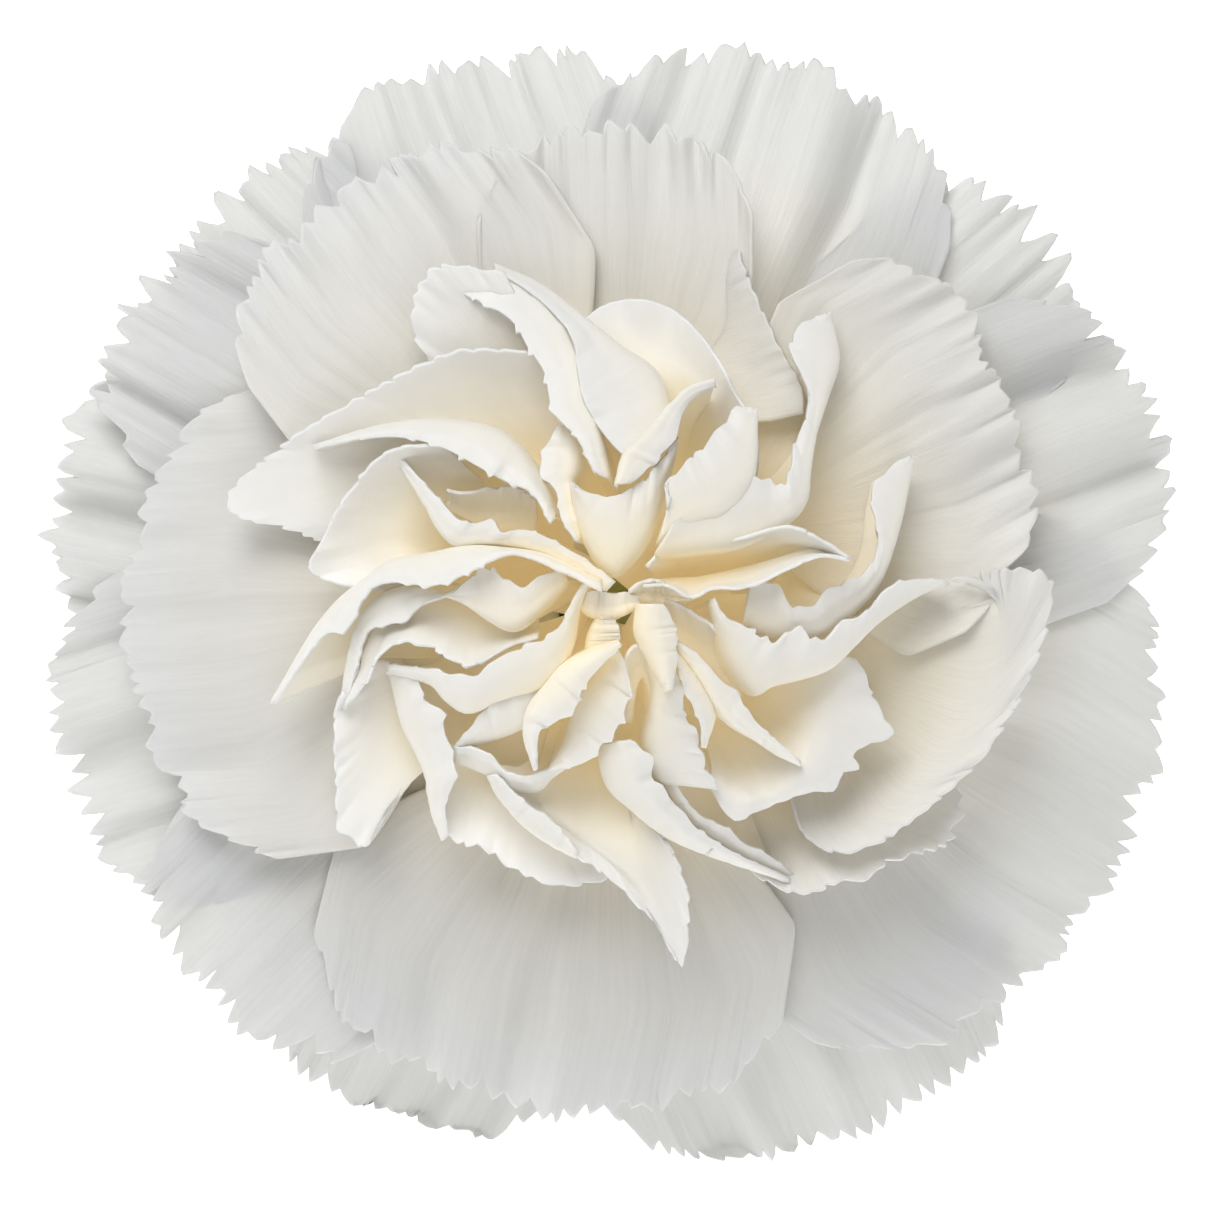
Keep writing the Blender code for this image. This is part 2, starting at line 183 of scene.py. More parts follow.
# Folded petals: blade, claw azimuth, silhouette, rim, depths of the silhouette and of the rim below the dome
# at their inner and outer ends, tooth size, crown, seed. Points are x, y.
FOLDED_PETALS = (
    ("heart_blade_05", 88.0,
     ((-4.4, 5.5), (-5.5, 8.3), (-8.0, 11.2), (-12.0, 12.1), (-16.0, 11.7), (-20.8, 10.3)),
     ((-4.8, 5.0), (-6.1, 7.0), (-7.8, 7.6), (-9.6, 8.5), (-12.0, 9.9), (-14.5, 10.7), (-17.0, 10.8),
      (-20.8, 10.2)),
     (3.2, 1.8), (1.0, 0.6), 1.5, 0.7, 61),
    ("core_blade_06", 108.0,
     ((-1.0, 0.6), (-4.0, 2.5), (-6.5, 3.5), (-9.0, 3.8), (-11.0, 3.6), (-12.2, 4.6), (-13.2, 6.4),
      (-15.0, 9.4)),
     ((-0.4, 1.2), (-2.8, 3.0), (-6.0, 4.7), (-7.9, 4.5), (-8.5, 5.4), (-10.5, 5.3), (-12.0, 6.6),
      (-15.0, 9.6)),
     (3.2, 3.2), (2.2, 1.8), 0.55, 0.3, 62),
    ("heart_blade_07", 128.0,
     ((-1.4, 1.2), (-5.0, 2.9), (-8.0, 3.4), (-10.5, 3.5), (-13.0, 3.0), (-15.5, 2.6), (-17.2, 1.4),
      (-20.0, -1.0), (-23.7, -7.0)),
     ((-1.3, 0.5), (-4.0, 1.8), (-7.0, 3.0), (-8.6, 2.5), (-10.0, 1.7), (-12.5, 0.7), (-15.3, 1.0),
      (-17.0, 0.5), (-18.4, -2.2), (-20.2, -2.6), (-23.6, -7.1)),
     (2.6, 2.8), (0.9, 1.4), 0.85, 0.5, 63),
    ("core_blade_08", 148.0,
     ((-3.6, 1.2), (-5.5, -0.8), (-7.2, -2.0), (-9.0, -1.3), (-11.0, 0.0), (-14.5, 0.8), (-17.0, -0.4),
      (-18.2, -3.2), (-18.9, -7.4)),
     ((-4.0, 2.0), (-5.3, 1.7), (-6.7, 1.0), (-8.0, 1.6), (-9.2, 2.4), (-11.5, 0.4), (-13.6, -0.6),
      (-14.8, -1.7), (-17.0, -2.2), (-17.8, -4.4), (-18.7, -7.4)),
     (4.2, 3.6), (3.0, 2.8), 0.5, 0.2, 64),
    ("core_blade_10", 188.0,
     ((-2.2, 1.1), (-2.9, -0.5), (-3.3, -2.8), (-4.0, -4.6), (-5.5, -5.9), (-8.0, -6.6), (-10.3, -7.6),
      (-11.8, -6.8), (-12.9, -5.6), (-15.8, -4.9)),
     ((-2.4, 1.2), (-3.2, 0.2), (-4.2, -1.6), (-5.5, -2.6), (-7.5, -3.3), (-9.2, -4.5), (-10.4, -5.0),
      (-12.7, -4.6), (-15.7, -4.3)),
     (3.4, 5.0), (1.8, 3.6), 0.5, 0.5, 65),
    ("heart_blade_11", 208.0,
     ((-0.2, -2.8), (-2.0, -3.4), (-4.0, -4.5), (-5.2, -6.0), (-6.3, -7.5), (-6.5, -9.2), (-5.8, -11.4)),
     ((0.0, -3.0), (-1.2, -4.4), (-2.4, -6.0), (-2.9, -7.4), (-4.3, -8.3), (-5.4, -8.9), (-5.7, -11.3)),
     (2.4, 3.8), (1.4, 2.4), 1.2, 0.7, 66),
    ("core_blade_12", 228.0,
     ((-0.5, -3.0), (-1.5, -4.8), (-2.9, -6.6), (-3.4, -8.4), (-3.9, -9.8), (-4.9, -11.4)),
     ((0.2, -4.2), (0.8, -6.0), (0.5, -7.4), (0.0, -8.8), (-1.2, -10.0), (-2.4, -11.1), (-4.6, -11.5)),
     (4.0, 5.0), (2.6, 3.6), 1.1, 0.5, 67),
    ("core_blade_12_fold", 215.0,
     ((-2.8, -10.6), (-4.6, -11.8), (-5.6, -12.8), (-7.5, -12.7), (-9.2, -11.7), (-11.4, -10.8)),
     ((-3.4, -10.2), (-4.9, -11.3), (-6.5, -11.8), (-8.0, -11.4), (-9.2, -10.1), (-11.3, -9.8)),
     (5.6, 5.2), (4.4, 4.4), 0.3, 0.3, 68),
    ("core_blade_10_tip", 200.0,
     ((-3.6, -5.8), (-5.5, -7.9), (-7.3, -8.9), (-9.3, -9.6), (-11.3, -10.1)),
     ((-3.2, -4.5), (-5.5, -5.6), (-7.7, -6.0), (-9.3, -7.4), (-11.2, -9.7)),
     (5.2, 5.6), (4.4, 4.6), 0.3, 0.5, 69),
    ("third_blade_5", 246.0,
     ((-12.0, -16.2), (-12.8, -14.2), (-13.2, -12.0), (-13.9, -10.3), (-14.8, -8.5), (-15.3, -6.5),
      (-15.8, -4.1)),
     ((-11.7, -15.9), (-11.8, -13.8), (-11.0, -11.7), (-11.6, -9.4), (-11.9, -7.5), (-13.2, -6.6),
      (-13.6, -5.2), (-15.0, -4.4)),
     (3.2, 5.2), (2.8, 4.6), 1.1, 0.4, 70),
    ("third_blade_6", 304.0,
     ((-1.2, -9.6), (-1.4, -11.0), (-0.8, -12.8), (0.5, -14.0), (2.0, -15.3), (4.0, -16.5), (7.0, -17.6),
      (10.0, -18.6), (11.4, -19.3)),
     ((0.6, -9.4), (2.0, -10.3), (2.4, -12.0), (3.6, -13.4), (4.8, -15.0), (7.4, -16.9), (9.4, -18.0),
      (11.4, -19.0)),
     (5.2, 5.4), (3.4, 4.6), 0.5, 0.8, 71),
    ("third_blade_6_fold", 300.0,
     ((2.2, -10.8), (3.4, -13.4), (5.2, -15.6), (7.5, -17.1), (9.4, -18.1), (11.8, -19.2)),
     ((3.0, -10.4), (3.9, -12.6), (5.2, -14.4), (7.3, -15.4), (8.3, -16.4), (9.8, -17.1), (11.7, -18.6)),
     (5.6, 5.6), (4.6, 5.0), 0.5, 0.3, 72),
    ("core_blade_14", 268.0,
     ((1.1, -0.3), (1.0, -2.2), (1.7, -3.7), (2.4, -5.0), (2.9, -6.1)),
     ((2.7, -0.3), (3.5, -1.3), (3.7, -3.0), (3.6, -4.6), (3.3, -6.0)),
     (1.8, 2.8), (1.0, 2.2), 0.3, 0.8, 73),
    ("core_blade_14_under", 262.0,
     ((1.5, -3.2), (2.2, -5.6), (2.0, -8.0), (1.6, -10.0), (2.2, -12.2)),
     ((3.2, -3.2), (4.2, -6.0), (4.4, -7.8), (5.2, -9.0), (5.6, -10.6), (6.6, -12.8)),
     (3.6, 5.0), (3.0, 4.4), 0.7, 0.5, 74),
    ("core_blade_14_side", 275.0,
     ((3.7, -3.5), (5.3, -5.6), (6.1, -7.4), (6.0, -8.4), (5.5, -9.9)),
     ((3.6, -4.0), (4.0, -5.8), (4.7, -7.4), (5.2, -8.6), (5.3, -9.9)),
     (3.4, 4.6), (2.8, 3.8), 0.3, 0.4, 75),
    ("heart_blade_13", 248.0,
     ((3.6, -3.1), (5.3, -5.4), (6.4, -7.2), (7.5, -8.5), (9.0, -9.4), (10.5, -10.4), (12.0, -11.1)),
     ((3.7, -2.7), (5.2, -3.7), (6.3, -5.0), (7.8, -6.2), (8.7, -7.7), (10.2, -9.2), (12.0, -10.8)),
     (3.2, 4.4), (2.0, 3.4), 0.35, 0.4, 76),
    ("heart_blade_15", 288.0,
     ((5.7, -0.1), (6.5, -3.0), (7.5, -4.9), (8.9, -6.3), (10.2, -5.7), (12.0, -5.3), (14.0, -4.6),
      (15.6, -3.1), (17.3, -1.5), (20.0, 0.3), (22.0, 1.1)),
     ((6.2, 0.1), (6.9, -1.1), (8.2, -1.5), (10.3, -2.6), (11.8, -1.7), (13.4, -2.6), (14.8, -1.4),
      (16.6, -0.6), (17.8, 0.9), (19.6, 1.5), (22.0, 1.3)),
     (4.2, 3.2), (2.2, 1.6), 0.95, 0.5, 77),
    ("heart_blade_17", 328.0,
     ((8.0, -1.8), (11.0, -2.8), (14.0, -2.2), (16.2, -0.3), (17.4, 1.3), (18.3, 3.5), (18.9, 5.5),
      (19.3, 7.4), (19.6, 9.6)),
     ((8.6, 1.1), (10.4, 1.3), (11.2, -0.2), (12.6, -0.3), (14.0, 0.9), (16.4, 2.0), (17.2, 3.6),
      (17.0, 5.5), (16.7, 7.3), (17.9, 8.9), (19.5, 9.8)),
     (4.6, 2.8), (3.6, 2.0), 0.4, 0.4, 78),
    ("heart_blade_01", 8.0,
     ((2.2, 3.0), (5.3, 3.4), (7.8, 3.7), (9.7, 4.5), (11.4, 5.4), (12.4, 6.7), (12.6, 8.5), (13.0, 11.0),
      (14.0, 14.0), (14.7, 16.5), (14.0, 19.4)),
     ((3.4, 5.1), (4.7, 6.2), (7.3, 7.8), (9.2, 8.4), (10.8, 7.8), (11.3, 9.4), (11.7, 11.1), (12.4, 12.3),
      (12.5, 14.2), (11.5, 16.4), (11.3, 17.8), (12.4, 18.9), (13.8, 19.4)),
     (3.0, 2.6), (1.6, 1.8), 0.5, 0.4, 79),
    ("core_blade_02_front", 28.0,
     ((2.4, 3.9), (5.0, 4.9), (7.2, 5.8), (8.6, 7.6), (9.0, 9.6), (9.0, 11.2), (8.9, 12.7)),
     ((3.3, 6.9), (2.9, 8.0), (4.3, 9.3), (5.3, 10.3), (6.3, 11.4), (7.3, 12.8), (8.7, 12.9)),
     (2.6, 1.4), (0.8, 0.8), 0.5, 0.4, 80),
    ("heart_blade_03", 48.0,
     ((-0.9, 8.0), (-1.5, 11.0), (-2.3, 13.5), (-2.8, 16.0), (-3.9, 18.4), (-6.0, 20.6), (-8.6, 22.0),
      (-12.9, 21.8)),
     ((-2.0, 8.6), (-3.2, 10.8), (-4.6, 12.1), (-5.2, 13.6), (-5.4, 15.0), (-6.6, 16.8), (-7.6, 18.6),
      (-9.8, 20.0), (-12.9, 21.4)),
     (1.8, 1.8), (0.6, 0.4), 1.6, 0.3, 81),
    ("core_blade_18", 348.0,
     ((-3.3, 7.8), (-3.0, 5.5), (-2.1, 3.2), (-0.7, 1.8), (0.6, 2.7), (1.8, 4.3), (2.5, 6.2), (3.4, 9.2)),
     ((-3.1, 7.6), (-1.6, 7.0), (0.0, 7.1), (0.8, 7.7), (1.8, 8.4), (2.6, 9.5), (3.7, 10.9)),
     (2.8, 3.4), (1.3, 1.5), 0.3, 0.5, 82),
    ("core_blade_18_curl", 5.0,
     ((-0.4, 7.6), (0.1, 9.6), (1.2, 10.7), (2.9, 12.6), (4.0, 13.7), (5.0, 14.3), (6.2, 14.6)),
     ((0.6, 7.8), (2.0, 8.8), (3.2, 10.1), (3.9, 11.4), (4.1, 12.6), (5.0, 13.6), (6.3, 14.3)),
     (0.8, 1.0), (0.9, 1.0), 0.3, 0.3, 83),
    ("core_blade_12_centre", 230.0,
     ((-2.9, -0.3), (-2.2, -1.0), (-1.0, -1.2), (0.2, -0.9), (1.2, -0.3)),
     ((-2.7, 0.5), (-1.6, 0.6), (-0.6, 0.4), (0.2, 0.5), (1.1, 0.2)),
     (4.0, 3.6), (3.0, 2.9), 0.05, 0.1, 85),
    ("core_blade_12_inner", 240.0,
     ((-2.4, -3.6), (-2.2, -2.4), (-1.7, -1.4), (-1.0, -0.9)),
     ((-0.2, -3.4), (-0.1, -2.4), (-0.3, -1.6), (-0.9, -0.9)),
     (4.4, 3.8), (3.6, 3.7), 0.05, 0.3, 86),
    ("core_blade_16_cup", 300.0,
     ((0.4, 0.1), (1.4, -0.1), (2.6, -0.2), (3.6, -0.1), (4.6, 0.0)),
     ((0.5, 0.6), (1.3, 1.2), (2.4, 1.3), (3.3, 0.8), (4.6, 0.2)),
     (3.6, 3.8), (2.2, 2.6), 0.15, -0.5, 87),
    ("core_blade_04", 68.0,
     ((3.0, 10.6), (3.1, 12.8), (2.2, 15.4), (0.0, 17.0), (-2.7, 19.1), (-5.4, 21.2), (-8.6, 22.6)),
     ((0.2, 9.5), (-1.2, 11.0), (-2.6, 13.4), (-3.0, 15.5), (-3.3, 17.4), (-4.3, 19.0), (-6.2, 20.8),
      (-8.6, 22.4)),
     (3.0, 2.0), (1.0, 0.8), 0.05, 0.3, 100),
    ("third_blade_2_roll", 262.0,
     ((-9.0, -11.8), (-8.3, -13.2), (-6.5, -15.3), (-4.7, -16.5), (-3.0, -17.3)),
     ((-8.4, -11.8), (-7.0, -13.1), (-5.7, -14.1), (-4.4, -15.0), (-3.0, -16.9)),
     (4.9, 3.8), (4.2, 3.4), 0.35, 0.2, 109),
    ("heart_blade_03_flap", 70.0,
     ((-2.8, 3.8), (-3.0, 5.5), (-3.4, 7.2), (-2.9, 9.0), (-3.0, 10.4), (-3.9, 11.7)),
     ((-3.1, 3.9), (-4.2, 5.4), (-4.5, 7.2), (-5.6, 8.3), (-5.7, 9.2), (-5.1, 10.6), (-4.2, 11.7)),
     (3.4, 3.6), (2.2, 2.4), 0.5, 0.3, 84),
)
# Open petals: blade, claw azimuth, inner line, rim, tooth size or its start and end, seed, and for some the
# line where the blade turns up to its rim. Points are x, y, z.
OPEN_PETALS = (
    ("third_blade_3", 156.0,
     ((-2.6, 9.5, 10.0), (-7.0, 10.5, 9.2), (-12.0, 10.0, 9.6), (-15.0, 8.0, 9.0), (-14.0, 4.0, 9.2)),
     ((-3.2, 14.6, 13.2), (-6.0, 16.6, 13.8), (-8.5, 16.9, 13.8), (-11.5, 16.8, 13.2), (-15.5, 15.0, 12.4),
      (-20.0, 12.5, 11.0), (-24.0, 9.9, 8.6), (-26.9, 7.2, 7.2), (-26.2, 5.6, 6.9), (-23.0, 4.8, 7.4),
      (-17.0, 2.6, 8.2)),
     (0.1, 0.6), 91),
    ("third_blade_4", 183.0,
     ((-9.0, 7.5, 11.2), (-12.5, 7.0, 10.6), (-14.5, 4.0, 10.0), (-13.0, 1.5, 10.4)),
     ((-12.0, 10.4, 15.6), (-15.2, 10.2, 15.2), (-17.2, 8.8, 14.2), (-18.8, 6.8, 13.0), (-20.3, 4.0, 11.6),
      (-21.2, 2.1, 10.6), (-19.4, 1.1, 10.8), (-16.0, 0.6, 11.6)),
     0.2, 92),
    ("heart_blade_09", 168.0,
     ((-5.5, -0.8, 12.2), (-9.0, -0.9, 12.2), (-12.5, 0.0, 12.0), (-15.5, -0.6, 11.6), (-16.6, -2.6, 11.6)),
     ((-5.6, -2.6, 17.4), (-7.7, -3.3, 17.0), (-9.3, -4.2, 16.6), (-10.6, -4.5, 16.4), (-12.6, -3.4, 16.4),
      (-14.6, -2.9, 15.9), (-15.6, -3.2, 15.4), (-16.6, -4.1, 14.8), (-17.3, -5.8, 13.6),
      (-18.7, -7.2, 12.0)),
     0.35, 93),
    ("third_blade_5_low", 250.0,
     ((-11.5, -10.0, 9.4), (-9.5, -11.8, 9.0), (-6.0, -12.6, 9.0), (-2.5, -12.6, 9.4)),
     ((-13.4, -11.5, 11.0), (-12.8, -14.6, 11.4), (-11.3, -16.4, 10.9), (-9.2, -17.1, 10.5),
      (-7.5, -18.3, 10.1), (-5.0, -19.4, 9.6), (-3.0, -19.5, 9.4), (-0.4, -18.9, 9.4), (1.6, -17.6, 9.6)),
     0.35, 94),
    ("third_blade_1", 214.0,
     ((-12.5, -4.0, 9.0), (-14.5, -7.0, 8.6), (-14.4, -9.4, 8.2), (-13.4, -11.6, 8.0)),
     ((-17.5, -4.0, 11.2), (-19.3, -7.0, 11.0), (-19.5, -10.0, 10.4), (-19.4, -13.0, 9.6),
      (-19.4, -15.7, 8.8), (-18.4, -16.4, 8.5), (-17.6, -16.9, 8.2), (-16.8, -15.9, 8.0),
      (-15.9, -13.9, 7.8)),
     (0.05, 0.4), 95),
    ("heart_blade_03_back", 60.0,
     ((-4.6, 15.6, 10.6), (-6.0, 14.6, 9.8), (-7.0, 13.0, 9.0)),
     ((-8.0, 22.2, 11.8), (-10.4, 22.6, 11.4), (-12.6, 22.7, 11.0), (-13.7, 21.6, 10.6),
      (-14.3, 19.8, 10.4), (-14.1, 17.6, 10.0), (-12.6, 15.6, 9.8)),
     0.4, 105),
    ("second_blade_4", 344.0,
     ((10.2, -10.0, 6.8), (13.0, -11.5, 6.6), (17.5, -10.5, 6.5), (20.0, -6.0, 6.7), (20.5, -1.0, 7.1)),
     ((11.5, -12.4, 8.4), (11.8, -14.6, 8.8), (12.7, -16.3, 9.0), (14.8, -17.3, 9.2), (17.4, -16.6, 9.3),
      (19.4, -15.3, 9.2), (22.0, -13.2, 9.0), (24.6, -10.8, 8.8), (26.8, -7.4, 8.4), (28.6, -3.6, 8.0),
      (29.4, 0.0, 7.6), (29.0, 1.9, 7.8), (26.0, 2.2, 8.4), (22.0, 1.4, 9.0)),
     (0.1, 1.2), 106,
     ((11.2, -11.9, 8.0), (11.8, -13.9, 8.0), (13.4, -15.0, 8.1), (16.6, -14.9, 8.2), (20.0, -12.6, 8.2),
      (23.2, -9.2, 8.1), (25.4, -4.6, 7.9), (25.6, 0.4, 8.1))),
    ("second_blade_5", 313.0,
     ((6.6, -12.4, 6.2), (8.6, -14.0, 5.8), (12.0, -14.6, 5.4), (16.0, -13.8, 5.0), (19.0, -12.0, 4.4)),
     ((6.4, -16.2, 7.0), (9.0, -18.7, 7.8), (11.2, -19.9, 8.2), (13.0, -20.0, 8.2), (14.8, -19.3, 8.0),
      (16.8, -19.1, 7.6), (18.0, -18.1, 7.2), (20.4, -17.4, 6.4), (22.6, -16.6, 5.4), (23.6, -14.4, 5.2),
      (22.6, -12.0, 5.0)),
     (0.1, 0.9), 107),
    ("second_blade_2_side", 84.0,
     ((7.8, 11.6, 9.4), (6.6, 13.2, 8.2), (5.4, 15.5, 6.4), (4.6, 18.0, 5.0), (4.2, 22.0, 4.0),
      (4.0, 25.0, 2.8)),
     ((12.3, 12.6, 10.4), (12.3, 13.6, 10.3), (12.1, 14.8, 10.0), (10.8, 17.1, 9.3), (9.7, 19.5, 8.5),
      (8.6, 22.1, 7.4), (8.0, 24.2, 5.8), (7.6, 25.8, 3.8)),
     (0.05, 0.3), 110),
    ("third_blade_2", 274.0,
     ((-6.5, -11.0, 10.6), (-4.8, -13.4, 10.9), (-2.2, -15.2, 11.4), (0.6, -16.4, 11.4), (0.4, -13.2, 10.6),
      (-0.6, -11.4, 10.2)),
     ((-9.0, -11.4, 12.8), (-7.4, -13.6, 12.4), (-4.5, -16.4, 12.0), (-0.6, -19.1, 11.0), (1.4, -21.1, 9.6),
      (2.6, -22.4, 8.6), (3.3, -23.8, 7.6), (4.2, -25.0, 6.8), (4.6, -22.3, 8.4), (4.5, -19.8, 9.8),
      (3.3, -16.8, 10.6), (1.4, -14.8, 10.6)),
     0.4, 96),
    ("third_blade_7", 336.0,
     ((5.6, -9.6, 9.8), (7.0, -10.2, 9.2), (8.8, -9.6, 9.0), (10.2, -7.6, 9.2), (10.8, -4.6, 9.8)),
     ((5.7, -12.2, 12.6), (6.6, -13.9, 12.4), (7.6, -14.9, 12.1), (8.8, -14.6, 12.0), (10.4, -13.8, 11.8),
      (12.8, -13.0, 11.4), (14.4, -12.9, 11.0), (14.9, -11.9, 11.0), (16.1, -11.4, 10.8),
      (16.0, -10.2, 11.0), (18.3, -9.3, 10.4), (18.2, -8.4, 10.6), (17.2, -6.8, 11.0), (16.6, -5.2, 11.4),
      (15.8, -4.0, 11.6)),
     (0.1, 0.35), 97,
     ((6.0, -11.6, 12.5), (7.6, -13.0, 12.5), (9.4, -13.2, 12.3), (11.2, -12.2, 12.2), (12.5, -10.2, 12.1),
      (13.5, -7.8, 12.1), (14.3, -5.4, 12.1), (14.7, -3.9, 12.1))),
    ("heart_blade_13_back", 262.0,
     ((3.8, -3.2, 14.8), (5.0, -4.2, 14.0), (6.6, -5.6, 13.0), (7.8, -6.8, 12.2)),
     ((2.8, 0.0, 18.4), (4.0, -0.4, 18.4), (5.1, -1.1, 18.2), (6.1, -1.8, 17.8), (7.0, -3.4, 16.6)),
     0.05, 111),
    ("core_blade_12_arch", 254.0,
     ((0.6, -8.0, 13.6), (0.9, -6.0, 14.6), (1.3, -5.2, 14.8), (1.7, -6.0, 14.6), (1.8, -8.0, 13.6)),
     ((-0.2, -8.4, 16.6), (-0.1, -5.6, 17.6), (0.2, -4.0, 18.0), (0.8, -3.1, 18.2), (1.5, -3.4, 18.1),
      (2.0, -4.4, 17.8), (2.4, -6.0, 17.2), (2.4, -8.4, 16.2)),
     0.05, 112),
    ("core_blade_06_back", 120.0,
     ((-5.6, 4.0, 12.4), (-7.6, 4.6, 12.0), (-9.6, 5.2, 11.6), (-11.4, 6.0, 11.4)),
     ((-5.8, 6.8, 15.6), (-7.2, 7.6, 15.4), (-9.0, 7.5, 15.0), (-10.8, 7.2, 14.6), (-11.8, 7.4, 14.2)),
     0.3, 113),
    ("core_blade_16", 308.0,
     ((2.0, 1.6, 14.5), (4.4, 2.6, 13.2), (8.0, 3.1, 13.6), (11.5, 3.7, 14.4), (12.5, 3.4, 14.6),
      (9.0, 2.3, 14.4), (5.5, 1.5, 14.6), (2.6, 1.2, 15.0)),
     ((1.6, 2.2, 18.8), (3.2, 3.6, 18.6), (5.2, 3.4, 18.2), (8.0, 4.1, 18.2), (11.0, 4.9, 18.0),
      (13.0, 4.2, 17.6), (15.3, 2.7, 16.6), (13.2, 2.9, 18.0), (10.4, 1.7, 18.7), (8.4, 0.8, 19.2),
      (6.0, 0.7, 19.6), (4.6, 0.1, 19.8), (3.0, 0.9, 20.0), (1.4, 0.9, 20.0)),
     0.3, 98),
    ("core_blade_02", 28.0,
     ((6.6, 5.6, 12.0), (6.4, 9.5, 11.6), (5.0, 13.0, 12.2), (2.0, 14.0, 12.0), (-0.5, 13.6, 11.6),
      (-1.6, 12.6, 11.4)),
     ((8.6, 6.8, 16.0), (9.1, 9.2, 15.6), (8.9, 11.8, 15.2), (7.6, 14.0, 14.8), (6.6, 16.0, 14.4),
      (5.0, 18.2, 13.8), (3.0, 19.8, 13.4), (0.6, 20.3, 13.0), (-1.4, 19.8, 12.4), (-3.0, 18.6, 12.0)),
     0.05, 99),
)


def node_of(blade):
    """The petal node that a blade stands for: core_blade_12_fold is one of core_petal_12's blades."""
    return "_".join(blade.split("_")[:3]).replace("blade", "petal")


def bloom_matrix():
    """From the bloom's own frame in millimetres to the row frame in metres, by the stem stub's place."""
    lean = Matrix.Rotation(LEAN, 4, "X")
    upright = lean.inverted()
    corners = [upright @ vertex.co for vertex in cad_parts["stem_stub"].data.vertices]
    low = [min(corner[axis] for corner in corners) for axis in range(3)]
    high = [max(corner[axis] for corner in corners) for axis in range(3)]
    shift = Vector(((low[0] + high[0]) / 2, (low[1] + high[1]) / 2, low[2] - STUB_FOOT * MM))
    return lean @ Matrix.Translation(shift) @ Matrix.Scale(MM, 4)


BLOOM = bloom_matrix()


class CarnationSettings(bpy.types.PropertyGroup):
    """Sizes and colours of the bloom."""

    petal_thickness: bpy.props.FloatProperty(
        name="Petal thickness",
        description="Thickness of every petal",
        default=0.00024,
        min=0.0001,
        unit="LENGTH",
    )
    tooth_width: bpy.props.FloatProperty(
        name="Tooth width",
        description="Mean width of the teeth along a petal's rim",
        default=0.00145,
        min=0.0005,
        unit="LENGTH",
    )
    tooth_depth: bpy.props.FloatProperty(
        name="Tooth depth",
        description="Mean depth of the teeth along a petal's rim",
        default=0.0012,
        min=0.0,
        unit="LENGTH",
    )
    rim_colour: bpy.props.FloatVectorProperty(
        name="Rim white",
        description="Colour of the blades towards their rims",
        default=(0.87, 0.875, 0.865),
        min=0.0,
        max=1.0,
        subtype="COLOR",
    )
    cream_colour: bpy.props.FloatVectorProperty(
        name="Cream",
        description="Colour of the blades towards the heart",
        default=(0.90, 0.83, 0.67),
        min=0.0,
        max=1.0,
        subtype="COLOR",
    )
    throat_colour: bpy.props.FloatVectorProperty(
        name="Throat",
        description="Greenish yellow of the claws and the blades' bases",
        default=(0.89, 0.79, 0.57),
        min=0.0,
        max=1.0,
        subtype="COLOR",
    )
    calyx_colour: bpy.props.FloatVectorProperty(
        name="Calyx green",
        description="Green of the calyx, bracts and stem",
        default=(0.13, 0.22, 0.08),
        min=0.0,
        max=1.0,
        subtype="COLOR",
    )


def settings():
    return bpy.context.scene.carnation_settings


def smooth_step(low, high, value):
    share = np.clip((value - low) / (high - low), 0.0, 1.0)
    return share * share * (3.0 - 2.0 * share)


def to_row(points):
    """Points in the bloom's frame, in millimetres, as points in the row frame that stay above the floor."""
    matrix = np.array(BLOOM)
    placed = points @ matrix[:3, :3].T + matrix[:3, 3]
    placed[:, 2] = np.maximum(placed[:, 2], FLOOR_CLEARANCE * MM)
    return placed


def tooth_columns(length, seed, width, per_tooth=6):
    """Columns across a rim, from -1 to 1, with one on every tip and notch: place, depth share and lift."""
    draw = np.random.default_rng(seed)
    count = max(5, int(round(length / width)))
    widths = draw.uniform(0.4, 1.7, count)
    ends = np.concatenate(([0.0], np.cumsum(widths)))
    ends = ends / ends[-1] * 2.0 - 1.0
    across, notch, lift = [], [], []
    for tooth in range(count):
        start, end = ends[tooth], ends[tooth + 1]
        tip = draw.uniform(0.22, 0.78)
        depth = draw.uniform(0.3, 1.25) * (widths[tooth] / 1.05) ** 0.6
        half = per_tooth // 2
        rise = draw.uniform(-1.0, 1.0)
        for step in range(per_tooth):
            if step < half:
                share = step / half
                spot = tip * share
            else:
                share = 1.0 - (step - half) / half
                spot = tip + (1.0 - tip) * (1.0 - share)
            across.append(start + (end - start) * spot)
            notch.append(depth * (1.0 - share) ** 1.2)
            lift.append(rise * share)
    across.append(1.0)
    notch.append(notch[0])
    lift.append(0.0)
    return np.array(across), np.array(notch), np.array(lift)


def wave(draw, across, cycles, terms=4):
    """A smooth random wave over the across positions, about 1 high."""
    total = np.zeros_like(across)
    for term in range(terms):
        turns = cycles * draw.uniform(0.5, 1.5)
        total += draw.uniform(0.5, 1.0) * np.sin(math.pi * turns * across + draw.uniform(0.0, math.tau))
    return total / (0.55 * terms)


